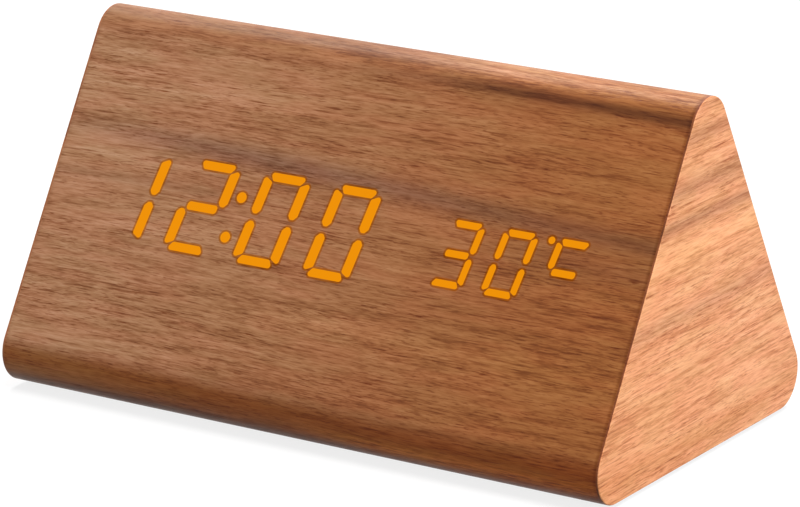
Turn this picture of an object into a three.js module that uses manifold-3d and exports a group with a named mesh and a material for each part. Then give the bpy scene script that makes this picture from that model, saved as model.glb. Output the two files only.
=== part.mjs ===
// Digital alarm clock: a wooden body with a rounded triangular section, lit digits in its sloping front
// face, buttons and a power inlet in its sloping rear face, and a battery bay in its base.
// Millimetres, +Z up, +X to the right of someone who faces the front, which looks towards -Y.
// The origin is on the surface that the feet stand on, under the middle of the body.
import * as THREE from "three";
import { mergeVertices } from "three/addons/utils/BufferGeometryUtils.js";
import Module from "manifold-3d";

const wasm = await Module();
wasm.setup();

// Driving dimensions
const bodyLength = 150;
const triangleSide = 98; // side of the section with its corners still sharp
const cornerRadius = 7.5;
const wallThickness = 6;
const endVeneerThickness = 0.6;
const endBoardThickness = 5;
const footHeight = 1;

// Named clearances
const seatGap = 0.3; // between a piece and its seat where it is let into, or rests on, a sloping face
const windowGap = 0.1; // round each lit bar in the wooden skin
const slideGap = 0.3; // round a button or a plunger that slides
const doorGap = 0.4; // round the battery door
const holeGap = 0.3; // round a screw's shank
const overrun = 1; // how far a cut runs past the face that it opens

// Screws
const screw = { headRadius: 2, headHeight: 1.2, shankRadius: 1, slotWidth: 0.6, slotDepth: 0.6 };
const screwBite = 3; // length of thread in what the screw holds on to

// Lit digits. Places are shares of the display pocket's width, from the body's middle. A digit's width is its
// pitch less the gap. Heights and widths are between the middle lines of the outer bars, and a dot's rise
// or drop is along the slope, from the face's middle.
const digitSlant = THREE.MathUtils.degToRad(7.6);
const timeDigit = { height: 18.6, bar: 2.1, gap: 8.55, firstMiddleShare: -0.4117, pitchShare: 0.1402 };
const temperatureDigit = { height: 13, bar: 1.55, gap: 5.95, firstMiddleShare: 0.2301, pitchShare: 0.0996 };
const timeBarsLit = ["bc", "abdeg", "abcdef", "abcdef"];
const temperatureBarsLit = ["abcdg", "abcdef", "afg"];
const colonDot = { radius: 1.3, rise: 3.65, drop: 5.45, middleShare: -0.2043 };
const degreeDot = { radius: 0.9, rise: 6.35, middleShare: 0.3867 };

// Shares of a bar's width that shape the ends of the bars
const capOuterShare = 0.1; // top and bottom bars, outer edge, short of the uprights' middle lines
const capInnerShare = 0.7; // the same bars, inner edge
const uprightOuterShare = 0.55; // uprights, outer side, short of the digit's outer edge
const uprightInnerShare = 1.1; // uprights, inner side
const waistShare = 0.3; // uprights, short of the digit's middle line
const waistTaperShare = 0.42;
const waistTipShare = 0.22;
const middleTipShare = 0.42; // middle bar, short of the uprights' middle lines
const middleTaperShare = 0.2;
const middleTipHeightShare = 0.25;

// Display, in layers from the outer face inwards
const skinThickness = 1;
const pocketHeight = 28;
const lens = { thickness: 1, margin: 2.2 };
const reflector = { endRoom: 3.4, endLip: 2, sideLip: 5, flangeThickness: 2, screwInset: 11 };
const board = { thickness: 1.6 };
const led = { length: 1.6, width: 0.8, height: 0.6 };
const header = { width: 10, depth: 4, height: 3 };

// Rear control panel and what it carries. In a row between its two posts stand three buttons and the inlet.
const panel = { rimX: 7, rimY: 3, thickness: 2, radius: 2, screwInset: 3.4 };
const counterbore = { margin: 0.3, depth: 1.3 };
const post = { radius: 2.2, toControl: 7.5 };
const button = {
  radius: 3.4, proud: 0.9, flangeRadius: 4.2, flangeThickness: 0.8, stemRadius: 1.4,
  travel: 0.6, pitch: 10, toJack: 11, markRadius: 1.5, markHeight: 0.3,
};
const tactSwitch = { width: 6, height: 3.5, plungerRadius: 1.6, plungerLength: 3, plungerProud: 1.5 };
const jack = {
  width: 8, height: 8.7, boreRadius: 1.85, boreDepth: 7.5, pinRadius: 0.65, pinSetback: 0.7, mouthRadius: 3,
};
const controlBoard = { postMargin: 2.4, height: 12.8, room: 0.6 };

// What stands on the control board's inner side: how far each is from the nearer post and from the middle of
// the slope
const buzzer = { radius: 6, height: 7, holeRadius: 1, holeDepth: 1.5, fromPost: 9 };
const controller = { width: 8, height: 1.6, fromPost: 12 };
const crystal = { radius: 1.4, length: 7, fromPost: 4.4, rise: 2 };
const thermistor = {
  beadRadius: 1.2, legRadius: 0.25, legSpacing: 1.2, legLength: 5, fromPost: 5, drop: 4.9,
};
const ribbon = { width: 8, thickness: 0.8, reach: 10 };
const lead = { radius: 0.6, sides: 8, steps: 28 };

// Base: the cover, its battery bay, the door and the feet
const baseCover = { rimX: 6, rimY: 5, thickness: 2, screwInsetX: 3, screwInsetY: 6 };
const baseOpening = { roomX: 4, roomY: 2.75 }; // between the tray and the wood
const cell = {
  radius: 5.25, length: 44.5, capRadius: 1.9, capHeight: 0.8, shoulder: 0.5, pitch: 11.1, room: 0.6,
};
const contact = { width: 9, height: 9, thickness: 0.5, dimpleRadius: 1.6, dimpleHeight: 0.9, tabWidth: 2 };
const coil = { wireRadius: 0.25, turns: 4, length: 5, wideRadius: 3.2, narrowRadius: 2.2, stepsPerTurn: 8 };
const coilWireSides = 5;
const tray = { wall: 2, roof: 1.5, sideRoom: 0.35, cradleWidth: 1.2, cradleHeight: 2.2, cradleLength: 30 };
const tabSlot = { width: 3, depth: 1.5 };
const tabRise = 3; // how far a contact's soldering tab stands above the tray's roof
const door = { ledge: 0.6, tabWidth: 6, tabSpacing: 32, tabReach: 1.8, tabThickness: 1.1, tabRoot: 1.6 };
const doorGroove = { length: 14, width: 0.8, depth: 0.4, pitch: 2, inset: 4, count: 3 };
const latch = { width: 10, thickness: 1, height: 2.8 };
const vent = { width: 1.2, length: 5, pitch: 8, count: 4 };
const fingerNotch = { radius: 6, depth: 1.2 };
const windowHead = 1.4; // room over the door's tabs and latch in the tray's walls
const foot = { radius: 4.5, insetX: 13, insetY: 21 };

// Numbers of flat sides and steps
const cornerSteps = 5; // an arc is drawn with twice as many
const roundSides = 24;
const smallRoundSides = 12;
const plateCornerSteps = 2;
const ribbonSteps = 12;

const faceTilt = Math.PI / 3;
const faceMiddle = triangleSide / 2;
const leastRadius = 0.5;
const mergeTolerance = 1e-4;

// Colours, roughness and metalness
function finish(color, roughness, metalness = 0) {
  return new THREE.MeshStandardMaterial({ color, roughness, metalness });
}
const finishes = {
  walnut: finish(0x8f5f40, 0.55),
  endGrain: finish(0xb97f52, 0.6),
  fibreboard: finish(0xa9825a, 0.85),
  blackPlastic: finish(0x1b1b1c, 0.5),
  whitePlastic: finish(0xe8e6e0, 0.6),
  litAmber: finish(0xf29a12, 0.5),
  boardGreen: finish(0x1f5a34, 0.45),
  zincSteel: finish(0xb9bcc0, 0.35, 1),
  nickelSteel: finish(0xc9c7c0, 0.25, 1),
  rubber: finish(0x262626, 0.9),
  cellSleeve: finish(0x2f6f8f, 0.4),
  greyPlastic: finish(0x8b8d90, 0.5),
  epoxyBlack: finish(0x141414, 0.6),
  beadGlass: finish(0x3a2a1c, 0.3),
  redLead: finish(0xb32018, 0.5),
  blackLead: finish(0x151515, 0.5),
  ribbonGrey: finish(0xa8abad, 0.6),
};

// Geometry helpers
function toSolid(geometry) {
  const loose = geometry.index ? geometry.toNonIndexed() : geometry;
  const bare = new THREE.BufferGeometry().setAttribute("position", loose.getAttribute("position"));
  const merged = mergeVertices(bare, mergeTolerance);
  const triVerts = [];
  for (let i = 0; i < merged.index.count; i += 3) {
    const [a, b, c] = merged.index.array.slice(i, i + 3);
    if (a !== b && b !== c && c !== a) triVerts.push(a, b, c);
  }
  return new wasm.Manifold(new wasm.Mesh({
    numProp: 3,
    vertProperties: merged.attributes.position.array,
    triVerts: new Uint32Array(triVerts),
  }));
}

function toGeometry(solid) {
  const { vertProperties, triVerts } = solid.getMesh();
  return new THREE.BufferGeometry()
    .setAttribute("position", new THREE.BufferAttribute(vertProperties, 3))
    .setIndex(new THREE.BufferAttribute(triVerts, 1));
}

function join(...geometries) {
  return toGeometry(geometries.map(toSolid).reduce((whole, piece) => whole.add(piece)));
}

function cut(geometry, ...tools) {
  return toGeometry(tools.map(toSolid).reduce((left, tool) => left.subtract(tool), toSolid(geometry)));
}

function block(x0, x1, y0, y1, z0, z1) {
  return new THREE.BoxGeometry(x1 - x0, y1 - y0, z1 - z0)
    .translate((x0 + x1) / 2, (y0 + y1) / 2, (z0 + z1) / 2);
}

function plate(width, depth, x, y, z0, z1) {
  return block(x - width / 2, x + width / 2, y - depth / 2, y + depth / 2, z0, z1);
}

function rod(radius, x, y, z0, z1, sides = smallRoundSides) {
  return new THREE.CylinderGeometry(radius, radius, z1 - z0, sides)
    .rotateX(Math.PI / 2)
    .translate(x, y, (z0 + z1) / 2);
}

function prism(shape, z0, z1, curveSegments = plateCornerSteps) {
  return new THREE.ExtrudeGeometry(shape, { depth: z1 - z0, bevelEnabled: false, curveSegments })
    .translate(0, 0, z0);
}

function outlineShape(points) {
  return new THREE.Shape(points.map(([x, y]) => new THREE.Vector2(x, y)));
}

function roundedPlate(width, depth, radius, x, y, z0, z1) {
  const right = width / 2 - radius;
  const back = depth / 2 - radius;
  const shape = new THREE.Shape();
  [[right, -back], [right, back], [-right, back], [-right, -back]].forEach(([cx, cy], corner) => {
    const start = (corner - 1) * Math.PI / 2;
    shape.absarc(x + cx, y + cy, radius, start, start + Math.PI / 2, false);
  });
  return prism(shape, z0, z1);
}

function mesh(name, geometry, material, parent) {
  const made = new THREE.Mesh(geometry, material);
  made.name = name;
  parent.add(made);
  return made;
}

// The four corners, or two ends, of a spacing about a middle
function corners({ x, y }, middleX = 0, middleY = 0) {
  return [[-1, -1], [1, -1], [-1, 1], [1, 1]].map(([sx, sy]) => [middleX + sx * x / 2, middleY + sy * y / 2]);
}

// A screw along Z: its head's top at `top`, its point below it or, with turn -1, above it
function screwGeometry(x, y, top, length, turn = 1) {
  const { headRadius, headHeight, shankRadius, slotWidth, slotDepth } = screw;
  const profile = [
    [0, -length], [shankRadius, shankRadius - length], [shankRadius, -headHeight],
    [headRadius, -headHeight], [headRadius, -headHeight / 2], [headRadius * Math.SQRT1_2, 0], [0, 0],
  ].map(([radius, height]) => new THREE.Vector2(radius, height));
  const blank = new THREE.LatheGeometry(profile, smallRoundSides).rotateX(Math.PI / 2);
  const arms = [plate(headRadius, slotWidth, 0, 0, -slotDepth, overrun),
    plate(slotWidth, headRadius, 0, 0, -slotDepth, overrun)];
  const made = cut(blank, ...arms);
  if (turn < 0) made.rotateX(Math.PI);
  return made.translate(x, y, top);
}

// The body stands on the feet. Each sloping face has a frame of its own: x along the face, to the right of
// someone who looks at it, y up the slope from the sharp lower corner, z out of the face.
const clock = new THREE.Group();
const body = new THREE.Group();
body.position.z = footHeight;
clock.add(body);

function slopeFrame(turn) {
  const heading = new THREE.Group();
  heading.rotation.z = turn;
  const slope = new THREE.Group();
  slope.position.y = -triangleSide / 2;
  slope.rotation.x = faceTilt;
  heading.add(slope);
  body.add(heading);
  heading.updateMatrix();
  slope.updateMatrix();
  return { group: slope, matrix: heading.matrix.clone().multiply(slope.matrix) };
}
const front = slopeFrame(0);
const rear = slopeFrame(Math.PI);

// Section: an equilateral triangle with rounded corners, `inset` inside the outer surface
const alongX = new THREE.Matrix4().makeBasis(
  new THREE.Vector3(0, 1, 0), new THREE.Vector3(0, 0, 1), new THREE.Vector3(1, 0, 0));

function sectionPrism(inset, from, to) {
  const radius = Math.max(cornerRadius - inset, leastRadius);
  const reach = triangleSide / 2 - (inset + radius) / Math.tan(faceTilt / 2);
  const apex = inset + radius + reach * Math.tan(faceTilt);
  const shape = new THREE.Shape();
  const arcs = [
    [reach, inset + radius, -Math.PI / 2],
    [0, apex, faceTilt / 2],
    [-reach, inset + radius, Math.PI - faceTilt / 2],
  ];
  arcs.forEach(([y, z, start]) => shape.absarc(y, z, radius, start, start + 2 * faceTilt, false));
  return prism(shape, from, to, cornerSteps).applyMatrix4(alongX);
}

// Lit bars. A bar is an outline of points, counter-clockwise, and the middle that its lamp sits under.
const turnedOver = (points) => points.map(([x, y]) => [x, -y]).reverse();
const mirrored = (points) => points.map(([x, y]) => [-x, y]).reverse();

// Sizes across the display, from the room between the end boards
const flangeWidth = bodyLength - 2 * (endVeneerThickness + endBoardThickness + reflector.endRoom);
const flangeHeight = pocketHeight + 2 * reflector.sideLip;
const pocketWidth = flangeWidth - 2 * reflector.endLip;
const displayScrewSpacing = {
  x: flangeWidth - 2 * reflector.screwInset, y: pocketHeight + reflector.sideLip,
};

function digitBars({ height, gap, bar, pitchShare }) {
  const side = (pitchShare * pocketWidth - gap) / 2;
  const half = bar / 2;
  const top = height / 2 + half;
  const capInner = side - capInnerShare * bar;
  const capOuter = side - capOuterShare * bar;
  const waist = waistShare * bar;
  const shoulder = waist + waistTaperShare * bar;
  const tip = waistTipShare * bar;
  const middleTip = side - middleTipShare * bar;
  const middleEdge = middleTip - middleTaperShare * bar;
  const tipHeight = middleTipHeightShare * bar;
  const a = [[-capInner, top - bar], [capInner, top - bar], [capOuter, top], [-capOuter, top]];
  const b = [
    [side - half, shoulder], [side - tip, waist], [side + tip, waist], [side + half, shoulder],
    [side + half, top - uprightOuterShare * bar], [side - half, top - uprightInnerShare * bar],
  ];
  const g = [
    [-middleTip, -tipHeight], [-middleEdge, -half], [middleEdge, -half], [middleTip, -tipHeight],
    [middleTip, tipHeight], [middleEdge, half], [-middleEdge, half], [-middleTip, tipHeight],
  ];
  return { a, b, c: turnedOver(b), d: turnedOver(a), e: mirrored(turnedOver(b)), f: mirrored(b), g };
}

// Places a bar on the face: digits lean by a shear, so level bars stay level.
function placeBar(points, middle, upright) {
  const outline = points.map(([x, y]) => [middle + x + y * Math.tan(digitSlant), faceMiddle + y]);
  const centre = [0, 1].map((axis) => outline.reduce((sum, point) => sum + point[axis], 0) / outline.length);
  return { outline, centre, angle: upright ? Math.PI / 2 - digitSlant : 0 };
}

function barsOf(digit, litBars) {
  const bars = [];
  litBars.forEach((lit, place) => {
    Object.entries(digitBars(digit)).forEach(([letter, points]) => {
      const middle = (digit.firstMiddleShare + place * digit.pitchShare) * pocketWidth;
      bars.push({ ...placeBar(points, middle, "bcef".includes(letter)), lit: lit.includes(letter) });
    });
  });
  return bars;
}

function dotAt({ radius, middleShare }, rise) {
  const outline = Array.from({ length: smallRoundSides }, (_, side) => {
    const angle = side * 2 * Math.PI / smallRoundSides;
    return [radius * Math.cos(angle), rise + radius * Math.sin(angle)];
  });
  return { ...placeBar(outline, middleShare * pocketWidth, false), lit: true };
}

// A convex outline moved outwards by a margin
function grown(outline, margin) {
  const edges = outline.map(([x, y], i) => {
    const [nextX, nextY] = outline[(i + 1) % outline.length];
    const length = Math.hypot(nextX - x, nextY - y);
    const normal = [(nextY - y) / length, (x - nextX) / length];
    return { normal, reach: normal[0] * x + normal[1] * y + margin };
  });
  return edges.map((edge, i) => {
    const last = edges[(i + edges.length - 1) % edges.length];
    const det = last.normal[0] * edge.normal[1] - last.normal[1] * edge.normal[0];
    return [
      (last.reach * edge.normal[1] - edge.reach * last.normal[1]) / det,
      (last.normal[0] * edge.reach - edge.normal[0] * last.reach) / det,
    ];
  });
}

const timeBars = [
  ...barsOf(timeDigit, timeBarsLit),
  dotAt(colonDot, colonDot.rise),
  dotAt(colonDot, -colonDot.drop),
];
const temperatureBars = [
  ...barsOf(temperatureDigit, temperatureBarsLit),
  dotAt(degreeDot, degreeDot.rise),
];
const allBars = [...timeBars, ...temperatureBars];

function barPrism(bar, margin, z0, z1) {
  return prism(outlineShape(grown(bar.outline, margin)), z0, z1);
}

// Depths of the display's layers, measured inwards from the face
const lensFront = skinThickness + seatGap;
const lensBack = lensFront + lens.thickness;
const reflectorFront = lensBack + seatGap;
const flangeFront = wallThickness + seatGap;
const reflectorBack = flangeFront + reflector.flangeThickness;
const boardFront = reflectorBack + seatGap;
const boardBack = boardFront + board.thickness;
const displayHeadTop = boardBack + seatGap + screw.headHeight;
const displayScrewLength = displayHeadTop - wallThickness + screwBite;

// Depths behind the rear face
const jackFront = panel.thickness + seatGap;
const controlFront = jackFront + jack.height + seatGap;
const controlBack = controlFront + board.thickness;
const onControlBack = controlBack + seatGap;
const panelHeadTop = counterbore.depth - screw.headHeight;

// Sizes across the rear, from the row of controls outwards
const postPlace = post.toControl + button.pitch + button.toJack / 2;
const postPlaces = [-postPlace, postPlace];
const buttonPlaces = [0, 1, 2].map((place) => post.toControl - postPlace + place * button.pitch);
const jackPlace = postPlace - post.toControl;
const controlWidth = 2 * (postPlace + controlBoard.postMargin);
const panelOpening = {
  width: controlWidth + 2 * controlBoard.room, height: controlBoard.height + 2 * controlBoard.room,
};
const panelWidth = panelOpening.width + 2 * panel.rimX;
const panelHeight = panelOpening.height + 2 * panel.rimY;
const panelScrewPlaces = [panel.screwInset - panelWidth / 2, panelWidth / 2 - panel.screwInset];
const sleeveEnd = bodyLength / 2 - endVeneerThickness;
const holeRadius = screw.shankRadius + holeGap;

// Base, measured upwards from the wood's underside
const bayLength = cell.length + 2 * contact.thickness + contact.dimpleHeight + 2 * seatGap + coil.length;
const bayDepth = 3 * cell.pitch + 2 * (cell.radius + tray.sideRoom);
const trayWidth = bayLength + 2 * tray.wall;
const trayDepth = bayDepth + 2 * tray.wall;
const openingWidth = trayWidth + 2 * baseOpening.roomX;
const openingDepth = trayDepth + 2 * baseOpening.roomY;
const coverWidth = openingWidth + 2 * baseCover.rimX;
const coverDepth = openingDepth + 2 * baseCover.rimY;
const baseScrewSpacing = {
  x: coverWidth - 2 * baseCover.screwInsetX, y: coverDepth - 2 * baseCover.screwInsetY,
};
const ventPlaces = [-1, 1].map((side) => side * (trayWidth + baseOpening.roomX) / 2);
const doorThickness = baseCover.thickness - seatGap;
const doorWidth = bayLength + 2 * door.ledge;
const doorDepth = bayDepth + 2 * door.ledge;
const doorTabTop = baseCover.thickness + seatGap + door.tabThickness;
const latchTop = doorThickness + latch.height;
const cellAxis = doorThickness + cell.room + cell.radius;
const roofUnderside = cellAxis + cell.radius + cell.room;
const trayTop = roofUnderside + tray.roof;
const cellPlaces = [-1.5, -0.5, 0.5, 1.5].map((share) => share * cell.pitch);
const doorTabs = [-door.tabSpacing / 2, door.tabSpacing / 2];

// Casing
function woodSleeve() {
  const shell = cut(
    sectionPrism(0, -sleeveEnd, sleeveEnd),
    sectionPrism(wallThickness, -sleeveEnd - overrun, sleeveEnd + overrun));
  const frontCuts = [
    plate(pocketWidth, pocketHeight, 0, faceMiddle, -wallThickness - overrun, -skinThickness),
    ...allBars.filter((bar) => bar.lit)
      .map((bar) => barPrism(bar, windowGap, -skinThickness - overrun, overrun)),
    ...corners(displayScrewSpacing, 0, faceMiddle)
      .map(([x, y]) => rod(holeRadius, x, y, -wallThickness - overrun, screwBite + holeGap - wallThickness)),
  ];
  const rebateDepth = panel.thickness + seatGap;
  const rearCuts = [
    roundedPlate(panelWidth + 2 * seatGap, panelHeight + 2 * seatGap, panel.radius + seatGap,
      0, faceMiddle, -rebateDepth, overrun),
    plate(panelOpening.width, panelOpening.height, 0, faceMiddle, -wallThickness - overrun, 0),
    ...panelScrewPlaces.map((x) => rod(holeRadius, x, faceMiddle, -rebateDepth - screwBite - holeGap, 0)),
  ];
  const baseCuts = [
    plate(openingWidth, openingDepth, 0, 0, -overrun, wallThickness + overrun),
    plate(coverWidth + 2 * seatGap, coverDepth + 2 * seatGap, 0, 0, -overrun, baseCover.thickness),
    ...corners(baseScrewSpacing)
      .map(([x, y]) => rod(holeRadius, x, y, 0, baseCover.thickness + screwBite + holeGap)),
  ];
  frontCuts.forEach((tool) => tool.applyMatrix4(front.matrix));
  rearCuts.forEach((tool) => tool.applyMatrix4(rear.matrix));
  return cut(shell, ...frontCuts, ...rearCuts, ...baseCuts);
}

mesh("wood_sleeve", woodSleeve(), finishes.walnut, body);
[["left", -1], ["right", 1]].forEach(([name, sign]) => {
  const between = (inset, near, far) => sectionPrism(inset, Math.min(sign * near, sign * far),
    Math.max(sign * near, sign * far));
  mesh(`${name}_end_board`, between(wallThickness + seatGap, sleeveEnd - endBoardThickness, sleeveEnd),
    finishes.fibreboard, body);
  mesh(`${name}_end_veneer`, between(0, sleeveEnd, bodyLength / 2), finishes.endGrain, body);
});

// Feet
[["rear", 1], ["front", -1]].forEach(([depthName, sy]) => {
  [["left", -1], ["right", 1]].forEach(([sideName, sx]) => {
    const [x, y] = [sx * (bodyLength / 2 - foot.insetX), sy * (triangleSide / 2 - foot.insetY)];
    mesh(`${depthName}_${sideName}_foot`, rod(foot.radius, x, y, 0, footHeight, roundSides),
      finishes.rubber, clock);
  });
});

// Base cover with its battery tray
function baseCoverGeometry() {
  const shell = join(
    plate(coverWidth, coverDepth, 0, 0, 0, baseCover.thickness),
    plate(trayWidth, trayDepth, 0, 0, 0, trayTop));
  const rearWall = [bayDepth / 2 - overrun, bayDepth / 2 + tray.wall + overrun];
  const hollow = cut(shell,
    plate(bayLength, bayDepth, 0, 0, -overrun, roofUnderside),
    plate(doorWidth + 2 * doorGap, doorDepth + 2 * doorGap, 0, 0, -overrun, baseCover.thickness),
    ...doorTabs.map((x) => block(x - door.tabWidth / 2 - doorGap, x + door.tabWidth / 2 + doorGap,
      ...rearWall, baseCover.thickness, doorTabTop + windowHead)),
    block(-latch.width / 2 - doorGap, latch.width / 2 + doorGap,
      -rearWall[1], -rearWall[0], baseCover.thickness, latchTop + windowHead),
    ...[cellPlaces[0], cellPlaces[3]].map((y) => plate(tabSlot.depth, tabSlot.width,
      (contact.thickness - bayLength) / 2, y, roofUnderside - overrun, trayTop + overrun)),
    ...corners(baseScrewSpacing).flatMap(([x, y]) => [
      rod(screw.headRadius + counterbore.margin, x, y, -overrun, counterbore.depth),
      rod(holeRadius, x, y, -overrun, baseCover.thickness + overrun),
    ]),
    rod(fingerNotch.radius, 0, -doorDepth / 2 - doorGap, -overrun, fingerNotch.depth, roundSides),
    ...ventPlaces.flatMap((x) => Array.from({ length: vent.count }, (_, i) =>
      plate(vent.width, vent.length, x, (i - (vent.count - 1) / 2) * vent.pitch,
        -overrun, baseCover.thickness + overrun))));
  const cradles = [-1, 0, 1].map((place) => plate(tray.cradleLength, tray.cradleWidth,
    0, place * cell.pitch, roofUnderside - tray.cradleHeight, trayTop));
  return join(hollow, ...cradles);
}
mesh("base_cover", baseCoverGeometry(), finishes.blackPlastic, body);

corners(baseScrewSpacing).forEach(([x, y], i) => {
  const headTop = counterbore.depth - screw.headHeight;
  const length = baseCover.thickness + screwBite - headTop;
  mesh(`base_screw_${i + 1}`, screwGeometry(x, y, headTop, length, -1), finishes.zincSteel, body);
});

// Battery door. It turns about the lower edge of its rear side.
function doorGeometry() {
  const rearEdge = doorDepth / 2;
  const tabs = doorTabs.flatMap((x) => [
    block(x - door.tabWidth / 2, x + door.tabWidth / 2, rearEdge - door.tabRoot, rearEdge, 0, doorTabTop),
    block(x - door.tabWidth / 2, x + door.tabWidth / 2, rearEdge - door.tabRoot, rearEdge + door.tabReach,
      doorTabTop - door.tabThickness, doorTabTop),
  ]);
  const catchTongue = block(-latch.width / 2, latch.width / 2, -rearEdge, latch.thickness - rearEdge,
    0, latchTop);
  const grooves = Array.from({ length: doorGroove.count }, (_, i) => plate(doorGroove.length,
    doorGroove.width, 0, doorGroove.inset + i * doorGroove.pitch - rearEdge, -overrun, doorGroove.depth));
  return cut(join(plate(doorWidth, doorDepth, 0, 0, 0, doorThickness), ...tabs, catchTongue), ...grooves);
}
mesh("battery_door", doorGeometry(), finishes.blackPlastic, body);

// Cells lie along X and face left and right by turns, so the current runs through all four.
const nubRight = (place) => place % 2 === 1;
const nubTip = bayLength / 2 - contact.thickness - contact.dimpleHeight - seatGap;
cellPlaces.forEach((y, place) => {
  const barrel = cell.length - cell.capHeight;
  const profile = [
    [0, 0], [cell.radius - cell.shoulder, 0], [cell.radius, cell.shoulder],
    [cell.radius, barrel - cell.shoulder], [cell.radius - cell.shoulder, barrel],
    [cell.capRadius, barrel], [cell.capRadius, cell.length], [0, cell.length],
  ].map(([radius, height]) => new THREE.Vector2(radius, height - cell.length));
  const made = new THREE.LatheGeometry(profile, roundSides)
    .rotateZ(nubRight(place) ? -Math.PI / 2 : Math.PI / 2)
    .translate(nubRight(place) ? nubTip : -nubTip, y, cellAxis);
  mesh(`battery_cell_${place + 1}`, made, finishes.cellSleeve, body);
});

// Contacts. Each is built at the bay's right end, its plate against the end wall, and turned for the left.
class CoilCurve extends THREE.Curve {
  getPoint(t) {
    const radius = coil.wideRadius + (coil.narrowRadius - coil.wideRadius) * t;
    const angle = t * coil.turns * 2 * Math.PI;
    const along = (coil.length - coil.wireRadius) * t;
    return new THREE.Vector3(-along, radius * Math.cos(angle), radius * Math.sin(angle));
  }
}

function roundWire(radius, sides) {
  return outlineShape(Array.from({ length: sides }, (_, side) => {
    const angle = side * 2 * Math.PI / sides;
    return [radius * Math.cos(angle), radius * Math.sin(angle)];
  }));
}

const coilSteps = coil.turns * coil.stepsPerTurn;
const coilCurve = new CoilCurve();

// Least gap between a turn and the next, on the points that the tube is drawn through
function leastCoilGap() {
  const points = Array.from({ length: coilSteps + 1 }, (_, i) => coilCurve.getPoint(i / coilSteps));
  let least = Infinity;
  points.forEach((point, i) => points.slice(i + coil.stepsPerTurn / 2).forEach((other) => {
    least = Math.min(least, point.distanceTo(other) - 2 * coil.wireRadius);
  }));
  return least;
}
console.log(`battery springs: least gap between turns ${leastCoilGap().toFixed(2)} mm`);

const contactFace = bayLength / 2 - contact.thickness;
const contactFoot = cellAxis - contact.height / 2;

function contactPlate(y0, y1) {
  return block(contactFace, bayLength / 2, y0 - contact.width / 2, y1 + contact.width / 2,
    contactFoot, contactFoot + contact.height);
}

function contactCoil(y) {
  return new THREE.ExtrudeGeometry(roundWire(coil.wireRadius, coilWireSides),
    { steps: coilSteps, bevelEnabled: false, extrudePath: coilCurve })
    .translate(contactFace, y, cellAxis);
}

function contactDimple(y) {
  return rod(contact.dimpleRadius, 0, 0, -contact.dimpleHeight, contact.thickness / 2)
    .rotateY(Math.PI / 2)
    .translate(contactFace, y, cellAxis);
}

function contactTab(y) {
  return block(contactFace, bayLength / 2, y - contact.tabWidth / 2, y + contact.tabWidth / 2,
    contactFoot, trayTop + tabRise);
}

// At the left end the piece is turned half round about Z, so its places across the bay change sign.
const [cellA, cellB, cellC, cellD] = cellPlaces;
const contacts = {
  positive_battery_contact: [contactPlate(-cellA, -cellA), contactDimple(-cellA), contactTab(-cellA)],
  left_battery_bridge: [contactPlate(-cellC, -cellB), contactCoil(-cellB), contactDimple(-cellC)],
  negative_battery_contact: [contactPlate(-cellD, -cellD), contactCoil(-cellD), contactTab(-cellD)],
  front_battery_bridge: [contactPlate(cellA, cellB), contactCoil(cellA), contactDimple(cellB)],
  rear_battery_bridge: [contactPlate(cellC, cellD), contactCoil(cellC), contactDimple(cellD)],
};
Object.entries(contacts).forEach(([name, pieces]) => {
  const made = join(...pieces);
  if (!/^(front|rear)/.test(name)) made.rotateZ(Math.PI);
  mesh(name, made, finishes.nickelSteel, body);
});

// Display
function lensGeometry(bars) {
  const across = bars.flatMap((bar) => bar.outline.map(([x]) => x));
  const height = pocketHeight - 2 * seatGap;
  const back = block(Math.min(...across) - lens.margin, Math.max(...across) + lens.margin,
    faceMiddle - height / 2, faceMiddle + height / 2, -lensBack, -lensFront);
  return join(back, ...bars.filter((bar) => bar.lit).map((bar) => barPrism(bar, 0, -lensBack, 0)));
}
mesh("time_lens", lensGeometry(timeBars), finishes.litAmber, front.group);
mesh("temperature_lens", lensGeometry(temperatureBars), finishes.litAmber, front.group);

const displayScrewPlaces = corners(displayScrewSpacing, 0, faceMiddle);
mesh("display_reflector", cut(
  join(
    plate(pocketWidth - 2 * seatGap, pocketHeight - 2 * seatGap, 0, faceMiddle,
      -reflectorBack, -reflectorFront),
    plate(flangeWidth, flangeHeight, 0, faceMiddle, -reflectorBack, -flangeFront)),
  ...allBars.map((bar) => barPrism(bar, windowGap, -reflectorBack - overrun, overrun - reflectorFront)),
  ...displayScrewPlaces.map(([x, y]) => rod(holeRadius, x, y, -reflectorBack - overrun, 0)),
), finishes.whitePlastic, front.group);

mesh("display_board", cut(
  join(
    plate(flangeWidth, flangeHeight, 0, faceMiddle, -boardBack, -boardFront),
    plate(header.width, header.depth, 0, faceMiddle, -boardBack - header.height, -boardFront),
    ...allBars.map(({ centre, angle }) => plate(led.length, led.width, 0, 0, -board.thickness / 2, led.height)
      .rotateZ(angle)
      .translate(centre[0], centre[1], -boardFront))),
  ...displayScrewPlaces.map(([x, y]) => rod(holeRadius, x, y, -boardBack - overrun, 0)),
), finishes.boardGreen, front.group);

displayScrewPlaces.forEach(([x, y], i) => {
  mesh(`display_screw_${i + 1}`, screwGeometry(x, y, -displayHeadTop, displayScrewLength, -1),
    finishes.zincSteel, front.group);
});

// Rear control panel, its buttons and their switches
const switchBase = seatGap - controlFront;
const switchTop = switchBase + tactSwitch.height;
const plungerTop = switchTop + tactSwitch.plungerProud;
const plungerFoot = plungerTop - tactSwitch.plungerLength;

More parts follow.
